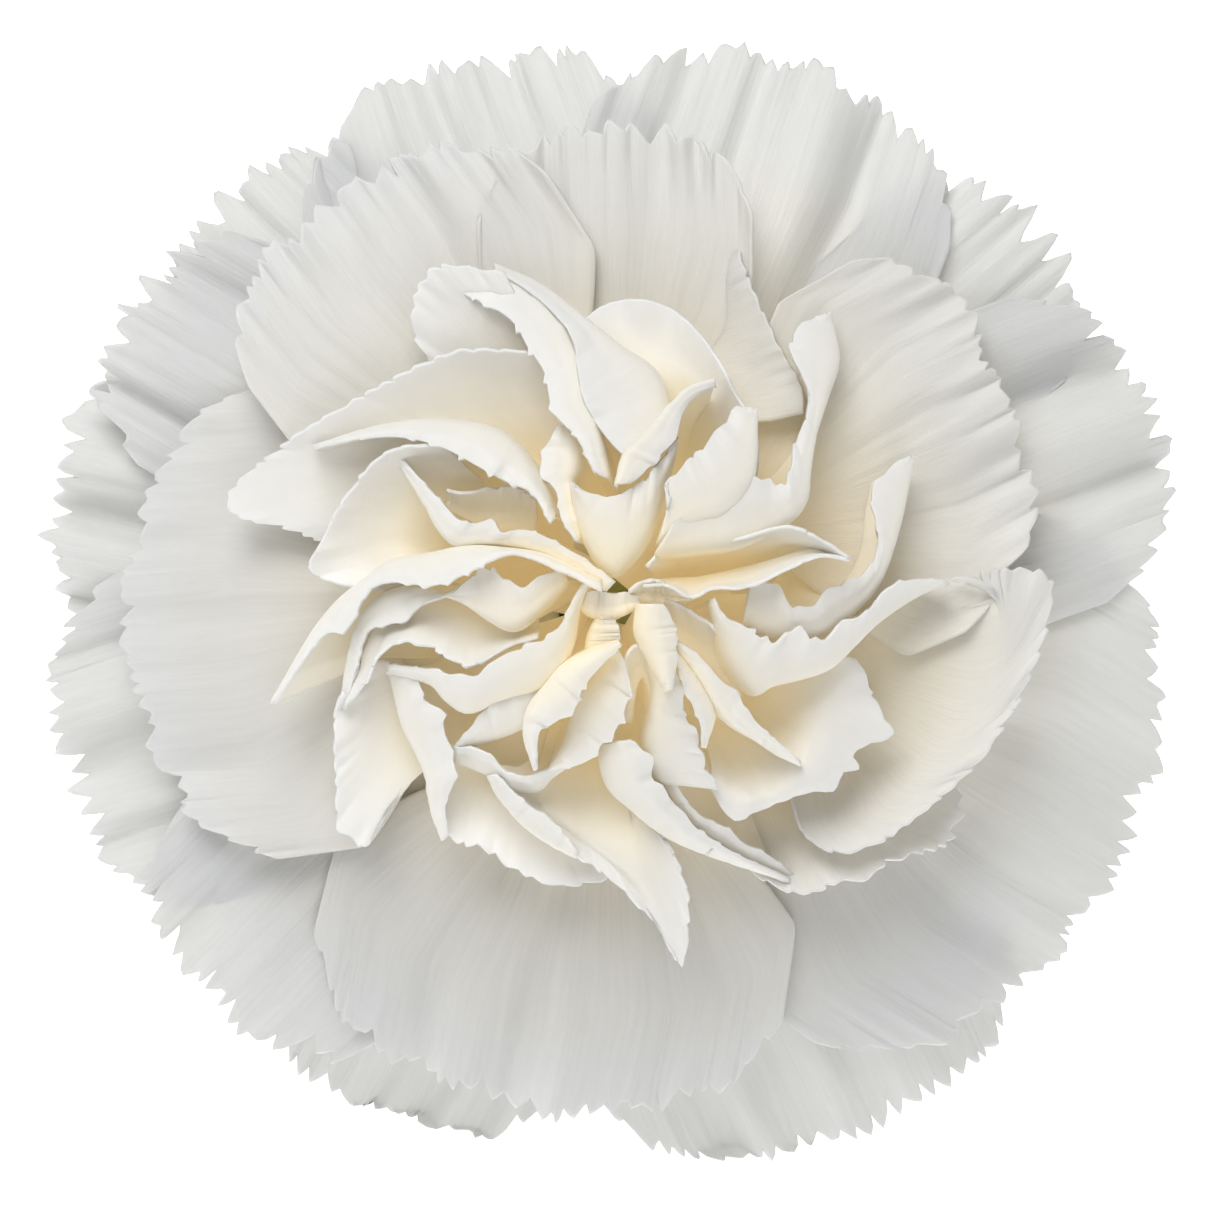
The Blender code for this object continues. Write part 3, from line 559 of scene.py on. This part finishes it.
def sheet_object(name, columns, rows, place):
    """A grid sheet made into a petal: place takes column and row numbers and gives points and how far each
    point is cream, which also sets the throat's painted light.
    """
    form = bmesh.new()
    form.loops.layers.uv.new("petal")
    bmesh.ops.create_grid(form, x_segments=columns, y_segments=rows, size=0.5, calc_uvs=True)
    mesh = bpy.data.meshes.new(name)
    form.to_mesh(mesh)
    form.free()
    flat = np.empty(len(mesh.vertices) * 3)
    mesh.vertices.foreach_get("co", flat)
    flat = flat.reshape(-1, 3)
    column = np.rint((flat[:, 0] + 0.5) * columns).astype(int)
    row = np.rint((flat[:, 1] + 0.5) * rows).astype(int)
    points, warmth = place(column, row)
    mesh.vertices.foreach_set("co", to_row(points).ravel())
    mesh.update()
    # The cream share also sets where the throat's painted light shines.
    tint = mesh.attributes.new("warmth", "FLOAT", "POINT")
    tint.data.foreach_set("value", warmth.astype(np.float32))
    made = bpy.data.objects.new(name, mesh)
    bpy.context.scene.collection.objects.link(made)
    for polygon in mesh.polygons:
        polygon.use_smooth = True
    shell = made.modifiers.new("Thickness", "SOLIDIFY")
    shell.thickness = settings().petal_thickness
    shell.offset = 0.0
    return made


def finish_piece(made, shade):
    """Give a blade its material, hang it on the root body and hide the CAD node it stands for."""
    made.data.materials.append(shade)
    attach(made, "root")
    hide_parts(node_of(made.name))


def blade_height(level, radius):
    """Height of the spread petals' shared leaf surface; a higher level lies nearer the face."""
    knots = (BLADE_START, 20.0, 30.0, 42.0)
    heights = (START_HEIGHT + level, 0.5 + 1.4 * level, -4.0 + 1.5 * level, -11.5 + 1.5 * level)
    slopes = (START_SLOPE + SLOPE_PER_LEVEL * level, -0.28, -0.52, -0.70)
    total = np.zeros_like(radius)
    for piece in range(3):
        width = knots[piece + 1] - knots[piece]
        share = (radius - knots[piece]) / width
        square, cube = share**2, share**3
        value = (2 * cube - 3 * square + 1) * heights[piece] + (3 * square - 2 * cube) * heights[piece + 1]
        value += (cube - 2 * square + share) * slopes[piece] * width
        value += (cube - square) * slopes[piece + 1] * width
        inside = radius >= knots[piece]
        if piece < 2:
            inside &= radius < knots[piece + 1]
        total = np.where(inside, value, total)
    return np.where(radius < knots[0], heights[0], total)


def neck_point(level, share):
    """Radius and height between the claw's top and the blade's start, as one Bezier arc."""
    mouth = MOUTH_RADIUS - MOUTH_PER_LEVEL * level
    height = START_HEIGHT + level
    slope = START_SLOPE + SLOPE_PER_LEVEL * level
    corners = (
        (mouth, CLAW_TOP),
        (mouth + 0.2, 1.2 + 0.6 * level),
        (8.2, height - 1.8 * slope),
        (BLADE_START, height),
    )
    weights = ((1 - share) ** 3, 3 * share * (1 - share) ** 2, 3 * share**2 * (1 - share), share**3)
    radius = sum(weight * corner[0] for weight, corner in zip(weights, corners))
    return radius, sum(weight * corner[1] for weight, corner in zip(weights, corners))


def swell(angle, radius):
    """A slow roll shared by the spread petals, so that stacked blades follow each other."""
    rise = smooth_step(14.0, 38.0, radius)
    roll = 0.55 * np.sin(5.0 * angle + 0.7) + 0.4 * np.sin(8.0 * angle + 2.1)
    roll = roll + 0.3 * np.sin(13.0 * angle + 4.0)
    return rise * roll


def spread_petal(layout, shade, slot):
    """A guard or second petal: a claw, a neck and a fan-shaped toothed blade."""
    blade, azimuth, half_width, rim, level, claw, droop, seed, (cup, skew), folds = layout
    blade_turn = math.radians(azimuth)
    claw_turn = math.radians(azimuth + (claw - azimuth + 180.0) % 360.0 - 180.0)
    widest = math.radians(half_width) * rim * 0.86
    arc = 2.0 * math.radians(half_width) * rim
    draw = np.random.default_rng(seed)
    across_at, notch_at, lift_at = tooth_columns(arc, seed, settings().tooth_width / MM)
    size = (rim / 40.0) ** 2.0
    tooth_depth = settings().tooth_depth / MM * size
    along_at = np.concatenate((
        np.linspace(0.0, 1.0, 4)[:-1],
        1.0 + np.linspace(0.0, 1.0, 9)[:-1],
        2.0 + 1.0 - (1.0 - np.linspace(0.0, 1.0, 31)) ** 1.35,
    ))
    roll = wave(draw, across_at, 1.2)
    pleat = wave(draw, across_at, 4.0)
    ruffle = wave(draw, across_at, 9.0)
    shape = wave(draw, across_at, 1.6)
    scallop = wave(draw, across_at, 6.0)
    crease = wave(draw, across_at, 16.0)

    def place(column, row):
        across, along = across_at[column], along_at[row]
        share = np.clip(along - 2.0, 0.0, 1.0)
        on_neck = np.clip(along - 1.0, 0.0, 1.0)
        edge = 1.0 + skew * across - EDGE_FALL * across**2 - EDGE_CORNER * across**8
        edge = edge + EDGE_WANDER * shape[column] + EDGE_LOBES * scallop[column]
        inner = 0.1 + 0.9 * smooth_step(1.0, 0.9, np.abs(across))
        cut = tooth_depth * notch_at[column] * inner * smooth_step(0.80, 1.0, share)
        neck_radius, neck_height = neck_point(level, on_neck)
        radius = BLADE_START + (rim * edge - BLADE_START) * share - cut
        height = blade_height(level, radius) - droop * np.maximum(0.0, (radius - 18.0) / 22.0) ** 2
        below = along < 1.0
        claw_radius = SPREAD_CLAW_FOOT - 0.31 * level + (SPREAD_CLAW_RISE - 0.14 * level) * along
        claw_height = CLAW_FOOT + (CLAW_TOP - CLAW_FOOT) * along
        on_blade = along > 2.0
        radius = np.where(on_blade, radius, np.where(below, claw_radius, neck_radius))
        height = np.where(on_blade, height, np.where(below, claw_height, neck_height))
        swing = 0.25 * on_neck**2 + 0.75 * (1.0 - (1.0 - share) ** 2)
        turn = claw_turn + (blade_turn - claw_turn) * swing
        flare = np.minimum(1.0, share / 0.72)
        flare = flare * (1.0 + 0.25 * (1.0 - flare))
        half = SPREAD_CLAW_HALF + on_neck**2 + (widest - SPREAD_CLAW_HALF - 1.0) * flare
        angle = turn + across * half / radius
        height = height + swell(angle, radius) * (1.0 if level < 3.0 else 0.5)
        height += share**1.5 * (ROLL * roll[column]) + share**3 * PLEAT * pleat[column]
        height += smooth_step(0.7, 1.0, share) * (RUFFLE * ruffle[column] + TOOTH_LIFT * lift_at[column])
        height += cup * share**2.2 + smooth_step(0.1, 0.7, share) * CREASE * crease[column]
        for spot, depth, width in folds:
            height -= depth * np.exp(-(((across - spot) / width) ** 2)) * smooth_step(0.15, 1.0, share)
        points = np.stack((radius * np.cos(angle), radius * np.sin(angle), height), axis=1)
        warmth = 1.0 - smooth_step(4.0, 36.0, radius)
        return points, warmth

    made = sheet_object(blade, len(across_at) - 1, len(along_at) - 1, place)
    finish_piece(made, shade)


def dome(spots):
    """Height of the dome that the heart's rims reach up to."""
    return DOME_TOP - DOME_FALL * (spots[:, 0] ** 2 + spots[:, 1] ** 2)


def trail(points, shares):
    """Points at shares of the length of a smooth curve through the given points."""
    knots = np.array(points, dtype=float)
    padded = np.vstack((2 * knots[0] - knots[1], knots, 2 * knots[-1] - knots[-2]))
    step = np.linspace(0.0, 1.0, 12, endpoint=False)[:, None]
    runs = [bend(*padded[index : index + 4], step) for index in range(len(knots) - 1)]
    dense = np.concatenate((*runs, knots[-1:]))
    length = np.concatenate(([0.0], np.cumsum(np.linalg.norm(np.diff(dense, axis=0), axis=1))))
    length /= length[-1]
    return np.stack([np.interp(shares, length, dense[:, axis]) for axis in range(dense.shape[1])], axis=1)


def bend(before, start, end, after, share):
    """Catmull-Rom arc from start to end."""
    curve = 2 * start + (end - before) * share + (2 * before - 5 * start + 4 * end - after) * share**2
    return 0.5 * (curve + (3 * start - before - 3 * end + after) * share**3)


def claw_curves(blade, azimuth, turn, across):
    """The claw's foot and top as arcs over the columns."""
    foot_radius, top_radius, half_width, foot = CLAWS[blade.split("_")[0]]
    arcs = []
    for radius, height in ((foot_radius, foot), (top_radius, CLAW_TOP)):
        angle = math.radians(azimuth) + turn * across * half_width / radius
        level = np.full_like(across, height)
        arcs.append(np.stack((radius * np.cos(angle), radius * np.sin(angle), level), axis=1))
    return arcs


def turning(line):
    """1 where a line runs counter-clockwise round the bloom's axis from its start to its end, else -1."""
    start = math.atan2(line[0][1], line[0][0])
    end = math.atan2(line[-1][1], line[-1][0])
    return 1.0 if (end - start + math.pi) % math.tau > math.pi else -1.0


def lofted_petal(blade, curves, cream_and_light_stops, teeth, depth, seed, shade):
    """A sheet through curves from the claw's foot to the rim, toothed and ruffled at the rim."""
    across, notch, lift = teeth
    draw = np.random.default_rng(seed + 500)
    ruffle = wave(draw, across, 5.0)
    pleat = wave(draw, across, 11.0)
    inner = 0.15 + 0.85 * smooth_step(1.0, 0.9, np.abs(across))
    padded = [2 * curves[0] - curves[1], *curves, 2 * curves[-1] - curves[-2]]
    sheets, warmth = [], []
    for index in range(len(curves) - 1):
        steps = (3, 5, 6, 6, 7, 8, 8)[index] if index < len(curves) - 2 else 12
        for step in range(steps):
            share = 1.0 - (1.0 - step / steps) ** 1.3 if steps == 12 else step / steps
            sheets.append(bend(*padded[index : index + 4], share))
            warmth.append(cream_and_light_stops[index] + (cream_and_light_stops[index + 1] - cream_and_light_stops[index]) * share)
    sheets.append(curves[-1])
    warmth.append(cream_and_light_stops[-1])
    grid, warmth = np.array(sheets), np.array(warmth)
    calm = np.clip(np.linalg.norm(curves[-1] - curves[-2], axis=1) / 1.4, 0.15, 1.0)
    back = grid[-5] - grid[-1]
    reach = np.linalg.norm(back, axis=1)
    cut = np.minimum(depth * notch * inner, 0.9 * reach)
    back /= np.maximum(reach, 1e-6)[:, None]
    for row in range(len(grid) - 20, len(grid)):
        away = np.linalg.norm(grid[row] - grid[-1], axis=1)
        near = smooth_step(3.0, 0.0, away)
        grid[row] += back * (cut * smooth_step(2.4, 0.0, away))[:, None]
        rise = HEART_RUFFLE * ruffle + HEART_PLEAT * pleat + HEART_TOOTH_LIFT * lift * np.minimum(1.0, depth)
        grid[row, :, 2] += calm * inner * near * rise

    def place(column, row):
        points = grid[row, column]
        radius = np.hypot(points[:, 0], points[:, 1])
        inward = 0.4 * (0.9 - smooth_step(4.0, 36.0, radius)) if blade.startswith("second") else 0.0
        tint = np.maximum(inward, warmth[row]) * (1.0 - 0.3 * smooth_step(8.0, 24.0, radius))
        # Near the centre the cream share rises, and with it the throat's painted light.
        tint = tint + 0.36 * smooth_step(12.0, 3.0, radius)
        return points, np.clip(tint, 0.0, 1.0)

    made = sheet_object(blade, len(across) - 1, len(grid) - 1, place)
    finish_piece(made, shade)


def line_length(points):
    line = np.array(points, dtype=float)
    return np.linalg.norm(np.diff(line, axis=0), axis=1).sum()


def folded_petal(layout, shade, slot):
    """A petal that turns over: up from its claw to its silhouette, then over to its rim."""
    blade, claw, silhouette, rim, low, high, tooth, crown, seed = layout
    width = settings().tooth_width / MM * 1.2
    teeth = tooth_columns(line_length(rim), seed, width)
    across = teeth[0]
    shares = (across + 1.0) / 2.0
    outer, top = trail(silhouette, shares), trail(rim, shares)
    claws = claw_curves(blade, claw, turning(silhouette), across)
    edge_z = dome(outer) - (low[0] + (low[1] - low[0]) * shares)
    rim_z = dome(top) - (high[0] + (high[1] - high[0]) * shares)
    foot = claws[1][:, :2]
    sink = smooth_step(14.0, 19.0, np.hypot(outer[:, 0], outer[:, 1]))
    base_z = np.minimum(np.maximum(8.8, edge_z - 8.0) - 3.6 * sink, edge_z - 1.5)
    under_z = np.minimum(np.maximum(9.6, edge_z - 3.6) - 1.6 * sink, edge_z - 0.6)
    base = np.column_stack((foot + 0.5 * (outer - foot), base_z))
    under = np.column_stack((outer + 0.13 * (foot - outer), under_z))
    side = np.column_stack((outer, edge_z))
    over = np.column_stack((0.5 * (outer + top), 0.5 * (edge_z + rim_z) + crown))
    curves = [*claws, base, under, side, over, np.column_stack((top, rim_z))]
    cream_and_light_stops = (1.0, 1.0, 0.97, 0.85, 0.62, 0.36, 0.12)
    lofted_petal(blade, curves, cream_and_light_stops, teeth, tooth, seed, shade)


def open_petal(layout, shade, slot):
    """A petal whose inner face shows: up from its claw over its inner line and out to its rim."""
    blade, claw, inner, rim, tooth, seed, *lip = layout
    teeth = tooth_columns(line_length(rim), seed, settings().tooth_width / MM)
    across = teeth[0]
    shares = (across + 1.0) / 2.0
    middle, top = trail(inner, shares), trail(rim, shares)
    claws = claw_curves(blade, claw, turning(rim), across)
    neck = claws[1] + 0.45 * (middle - claws[1])
    neck[:, 2] = 0.62 * middle[:, 2]
    if lip:
        slope = trail(lip[0], shares)
    else:
        slope = middle + 0.55 * (top - middle)
        slope[:, 2] -= 0.12 * (top[:, 2] - middle[:, 2])
    if isinstance(tooth, tuple):
        tooth = tooth[0] + (tooth[1] - tooth[0]) * shares
    curves = [*claws, neck, middle, slope, top]
    cream_and_light_stops = (1.0, 1.0, 0.97, 0.82, 0.45, 0.12)
    lofted_petal(blade, curves, cream_and_light_stops, teeth, tooth, seed, shade)


def add_node(tree, kind, location, sockets=None, **values):
    """A new shader node with its settings, and the values of those sockets that nothing is joined to."""
    made = tree.nodes.new(kind)
    made.location = location
    for key, value in values.items():
        setattr(made, key, value)
    for key, value in (sockets or {}).items():
        made.inputs[key].default_value = value
    return made


def join(tree, *links):
    """Join nodes, each link given as node, output, node, input."""
    for source, output, target, socket in links:
        tree.links.new(source.outputs[output], target.inputs[socket])


def new_material(name, sockets):
    """A node material with values set on its shader: the material, its tree and the shader."""
    made = bpy.data.materials.new(name)
    made.use_nodes = True
    shader = made.node_tree.nodes["Principled BSDF"]
    for key, value in sockets.items():
        shader.inputs[key].default_value = value
    return made, made.node_tree, shader


def tissue_ramp(tree, painted_shade_level, warm):
    """White at the rim, cream towards the heart and yellowish in the throat."""
    ramp = add_node(tree, "ShaderNodeValToRGB", (-600, 200))
    ramp.color_ramp.interpolation = "B_SPLINE"
    # The rim white and the cream are scaled by the ring's painted shade level.
    rim = [min(0.96, painted_shade_level * part) for part in settings().rim_colour]
    cream = [min(0.96, painted_shade_level * part) for part in settings().cream_colour]
    stops = ramp.color_ramp.elements
    stops[0].position = max(0.0, 0.12 - warm)
    stops[0].color = (*rim, 1.0)
    stops[1].position = 0.78
    stops[1].color = (*cream, 1.0)
    throat = stops.new(1.0)
    throat.color = (*settings().throat_colour, 1.0)
    return ramp


def petal_material(name, painted_shade_level, warm, veins_across, vein_height, contrast):
    """White petal tissue: cream towards the heart, fine veins along the blade, a thin translucent body,
    darker on the outer rings as painted shade, and painted light from an emission in the throat.
    """
    made, tree, shader = new_material(name, PETAL_TISSUE)
    # The cream share drives the colour ramp and the throat's painted light.
    tint = add_node(tree, "ShaderNodeAttribute", (-900, 200), attribute_name="warmth")
    ramp = tissue_ramp(tree, painted_shade_level, warm)
    uv = add_node(tree, "ShaderNodeUVMap", (-1300, -200), uv_map="petal")
    fan = add_node(tree, "ShaderNodeMapping", (-1100, -200), {"Scale": (veins_across, 5.0, 1.0)})
    veins = add_node(tree, "ShaderNodeTexNoise", (-900, -200), {"Scale": 1.0, "Detail": 3.0})
    range_of_shade = {"To Min": 1.0 - contrast, "To Max": 1.0 + 0.6 * contrast}
    shade = add_node(tree, "ShaderNodeMapRange", (-600, -60), range_of_shade)
    mix = add_node(
        tree, "ShaderNodeMix", (-300, 200), {"Factor": 1.0}, data_type="RGBA", blend_type="MULTIPLY"
    )
    # Painted light: an emission in the throat, strongest where a blade is most cream, lifting the shaded
    # heart.
    painted_light_ramp = add_node(tree, "ShaderNodeValToRGB", (-600, 500))
    painted_light_ramp.color_ramp.elements[0].position = 0.45
    painted_light_ramp.color_ramp.elements[0].color = BLACK
    painted_light_ramp.color_ramp.elements[1].color = PAINTED_THROAT_LIGHT
    coords = add_node(tree, "ShaderNodeTexCoord", (-1300, -500))
    cells = add_node(tree, "ShaderNodeTexNoise", (-900, -500), {"Scale": 4200.0, "Detail": 1.0})
    fine = add_node(tree, "ShaderNodeBump", (-450, -450), {"Strength": 0.25, "Distance": 0.00004})
    ridges = add_node(tree, "ShaderNodeBump", (-250, -300), {"Strength": 0.5, "Distance": vein_height})
    join(
        tree,
        (tint, "Fac", ramp, "Fac"),
        (uv, "UV", fan, "Vector"),
        (fan, "Vector", veins, "Vector"),
        (veins, "Fac", shade, "Value"),
        (ramp, "Color", mix, "A"),
        (shade, "Result", mix, "B"),
        (mix, "Result", shader, "Base Color"),
        (tint, "Fac", painted_light_ramp, "Fac"),
        (painted_light_ramp, "Color", shader, "Emission Color"),
        (coords, "Object", cells, "Vector"),
        (cells, "Fac", fine, "Height"),
        (veins, "Fac", ridges, "Height"),
        (fine, "Normal", ridges, "Normal"),
        (ridges, "Normal", shader, "Normal"),
    )
    return made


def green_material(name, body, vein, foot, rough):
    """Waxy green skin with fine ribs along the bloom's axis, turning to another tint at one end."""
    skin = {"Roughness": rough, "Subsurface Weight": 0.15, "Subsurface Scale": 0.0008}
    made, tree, shader = new_material(name, skin)
    foot_start, foot_full, foot_tint = foot
    placing = {"Location": BLOOM.to_translation(), "Rotation": (LEAN, 0.0, 0.0), "Scale": (MM, MM, MM)}
    coords = add_node(tree, "ShaderNodeTexCoord", (-1900, 0))
    upright = add_node(tree, "ShaderNodeMapping", (-1700, 0), placing, vector_type="TEXTURE")
    parts = add_node(tree, "ShaderNodeSeparateXYZ", (-1500, 0))
    turn = add_node(tree, "ShaderNodeMath", (-1300, 100), operation="ARCTAN2")
    many = add_node(tree, "ShaderNodeMath", (-1450, -250), {1: RIBS_AROUND}, operation="MULTIPLY")
    around = add_node(tree, "ShaderNodeMath", (-1300, -100), operation="SINE")
    ribs = add_node(tree, "ShaderNodeMapRange", (-1100, -100), {"From Min": 0.2})
    weak = add_node(tree, "ShaderNodeMath", (-800, -100), {1: 0.35}, operation="MULTIPLY")
    mottle = add_node(tree, "ShaderNodeTexNoise", (-1300, 350), {"Scale": 0.35, "Detail": 4.0})
    bodies = {"A": (*body, 1.0), "B": (*[part * 1.5 for part in body], 1.0)}
    tinted = add_node(tree, "ShaderNodeMix", (-800, 300), bodies, data_type="RGBA")
    veined = add_node(tree, "ShaderNodeMix", (-550, 250), {"B": (*vein, 1.0)}, data_type="RGBA")
    low = add_node(tree, "ShaderNodeMapRange", (-800, -350), {"From Min": foot_start, "From Max": foot_full})
    final = add_node(tree, "ShaderNodeMix", (-300, 200), {"B": (*foot_tint, 1.0)}, data_type="RGBA")
    pores = add_node(tree, "ShaderNodeTexNoise", (-800, -600), {"Scale": 5.0})
    pitted = add_node(tree, "ShaderNodeBump", (-500, -500), {"Strength": 0.3, "Distance": 0.00006})
    grooves = add_node(tree, "ShaderNodeBump", (-300, -400), {"Strength": 0.6, "Distance": 0.00012})
    join(
        tree,
        (coords, "Object", upright, "Vector"),
        (upright, "Vector", parts, "Vector"),
        (parts, "Y", turn, 0),
        (parts, "X", turn, 1),
        (turn, "Value", many, 0),
        (many, "Value", around, 0),
        (around, "Value", ribs, "Value"),
        (ribs, "Result", weak, 0),
        (weak, "Value", veined, "Factor"),
        (upright, "Vector", mottle, "Vector"),
        (mottle, "Fac", tinted, "Factor"),
        (tinted, "Result", veined, "A"),
        (parts, "Z", low, "Value"),
        (low, "Result", final, "Factor"),
        (veined, "Result", final, "A"),
        (final, "Result", shader, "Base Color"),
        (upright, "Vector", pores, "Vector"),
        (pores, "Fac", pitted, "Height"),
        (around, "Value", grooves, "Height"),
        (pitted, "Normal", grooves, "Normal"),
        (grooves, "Normal", shader, "Normal"),
    )
    return made


def paint_node(node, shade):
    """Give a CAD node that keeps its shape a better material."""
    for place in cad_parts[node].material_slots:
        place.material = shade
    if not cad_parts[node].material_slots:
        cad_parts[node].data.materials.append(shade)


class BLOOM_OT_green_parts(bpy.types.Operator):
    """Finish the calyx, the bracts, the stem stub and the pistil"""

    bl_idname = "bloom.green_parts"
    bl_label = "Green Parts"

    def execute(self, context):
        green = tuple(settings().calyx_colour)
        for name, body, vein, foot, rough, nodes in GREEN_SKINS:
            skin = green_material(name, body or green, vein, foot, rough)
            for node in nodes:
                paint_node(node, skin)
        return {"FINISHED"}


def petal_shade(slot):
    """The petal material of a slot, made the first time it's asked for."""
    name = slot + "_tissue"
    return bpy.data.materials.get(name) or petal_material(name, *PETAL_SHADES[slot])


def make_ring(ring, slot):
    """Make every blade whose name starts with ring."""
    shade = petal_shade(slot)
    kinds = ((SPREAD_PETALS, spread_petal), (FOLDED_PETALS, folded_petal), (OPEN_PETALS, open_petal))
    for layouts, make in kinds:
        for layout in layouts:
            if layout[0].startswith(ring):
                make(layout, shade, slot)


class BLOOM_OT_guard_petals(bpy.types.Operator):
    """Make the guard ring, the lowest and widest petals"""

    bl_idname = "bloom.guard_petals"
    bl_label = "Guard Petals"

    def execute(self, context):
        make_ring("guard", "petal_outer_white")
        return {"FINISHED"}


class BLOOM_OT_second_petals(bpy.types.Operator):
    """Make the second ring of cupped petals"""

    bl_idname = "bloom.second_petals"
    bl_label = "Second Ring"

    def execute(self, context):
        make_ring("second", "petal_white")
        return {"FINISHED"}


class BLOOM_OT_third_petals(bpy.types.Operator):
    """Make the third ring of smaller, steeper petals"""

    bl_idname = "bloom.third_petals"
    bl_label = "Third Ring"

    def execute(self, context):
        make_ring("third", "petal_cream")
        return {"FINISHED"}


class BLOOM_OT_heart_petals(bpy.types.Operator):
    """Make the standing petals of the outer pinwheel"""

    bl_idname = "bloom.heart_petals"
    bl_label = "Heart Petals"

    def execute(self, context):
        make_ring("heart", "petal_cream")
        return {"FINISHED"}


class BLOOM_OT_core_petals(bpy.types.Operator):
    """Make the small crumpled petals at the core"""

    bl_idname = "bloom.core_petals"
    bl_label = "Core Petals"

    def execute(self, context):
        make_ring("core", "petal_cream")
        return {"FINISHED"}


def bloom_directions():
    """The bloom's own right, up and face directions in the row frame."""
    turn = BLOOM.to_3x3()
    face = (turn @ Vector((0.0, 0.0, 1.0))).normalized()
    up = (turn @ Vector((0.0, 1.0, 0.0))).normalized()
    return up.cross(face), up, face


def make_floor(scene):
    form = bmesh.new()
    bmesh.ops.create_grid(form, x_segments=1, y_segments=1, size=FLOOR_HALF)
    mesh = bpy.data.meshes.new("floor")
    form.to_mesh(mesh)
    form.free()
    floor = bpy.data.objects.new("floor", mesh)
    scene.collection.objects.link(floor)
    mesh.materials.append(new_material("floor_white", FLOOR_PAINT)[0])


def light_world(scene):
    world = bpy.data.worlds.new("studio")
    world.use_nodes = True
    sky = world.node_tree.nodes["Background"]
    sky.inputs["Color"].default_value = (1.0, 1.0, 1.0, 1.0)
    sky.inputs["Strength"].default_value = WORLD_STRENGTH
    scene.world = world


def light_bloom(scene):
    """Round soft lights that face the calyx mouth."""
    right, up, face = bloom_directions()
    for name, place, size, power in LIGHTS:
        offset = right * place[0] + up * place[1] + face * place[2]
        lamp = bpy.data.lights.new(name, "AREA")
        lamp.shape = "DISK"
        lamp.size = size
        lamp.energy = power
        holder = bpy.data.objects.new(name, lamp)
        holder.location = BLOOM.to_translation() + offset
        holder.rotation_mode = "QUATERNION"
        holder.rotation_quaternion = (-offset).to_track_quat("-Z", "Y")
        scene.collection.objects.link(holder)


def aim_camera(scene):
    """A long lens that looks down the bloom's axis."""
    right, up, face = bloom_directions()
    camera = bpy.data.cameras.new("camera")
    camera.lens = LENS
    camera.sensor_width = 36.0
    camera.clip_start = 0.01
    camera.clip_end = 10.0
    holder = bpy.data.objects.new("camera", camera)
    aim = BLOOM.to_translation() + right * CAMERA_AIM[0] + up * CAMERA_AIM[1]
    turn = Matrix((right, up, face)).transposed().to_4x4()
    holder.matrix_world = Matrix.Translation(aim + face * CAMERA_DISTANCE) @ turn
    scene.collection.objects.link(holder)
    scene.camera = holder
    scene.view_settings.view_transform = "Standard"


class BLOOM_OT_stage(bpy.types.Operator):
    """Make the pale floor, the soft lights and the camera"""

    bl_idname = "bloom.stage"
    bl_label = "Studio Stage"

    def execute(self, context):
        make_floor(context.scene)
        light_world(context.scene)
        light_bloom(context.scene)
        aim_camera(context.scene)
        return {"FINISHED"}


class BLOOM_PT_panel(bpy.types.Panel):
    """Sizes, colours and makers of the bloom"""

    bl_idname = "BLOOM_PT_panel"
    bl_label = "Carnation Bloom"
    bl_space_type = "VIEW_3D"
    bl_region_type = "UI"
    bl_category = "Bloom"

    def draw(self, context):
        for key in CarnationSettings.__annotations__:
            self.layout.prop(context.scene.carnation_settings, key)
        for operator in OPERATORS:
            self.layout.operator(operator.bl_idname)


OPERATORS = (
    BLOOM_OT_guard_petals,
    BLOOM_OT_second_petals,
    BLOOM_OT_third_petals,
    BLOOM_OT_heart_petals,
    BLOOM_OT_core_petals,
    BLOOM_OT_green_parts,
    BLOOM_OT_stage,
)
CLASSES = (CarnationSettings, *OPERATORS, BLOOM_PT_panel)


def register():
    for made in CLASSES:
        bpy.utils.register_class(made)
    bpy.types.Scene.carnation_settings = bpy.props.PointerProperty(type=CarnationSettings)


def unregister():
    del bpy.types.Scene.carnation_settings
    for made in reversed(CLASSES):
        bpy.utils.unregister_class(made)


def main():
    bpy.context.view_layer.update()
    register()
    bpy.ops.bloom.guard_petals()
    bpy.ops.bloom.second_petals()
    bpy.ops.bloom.third_petals()
    bpy.ops.bloom.heart_petals()
    bpy.ops.bloom.core_petals()
    bpy.ops.bloom.green_parts()
    bpy.ops.bloom.stage()


if __name__ == "__main__":
    main()
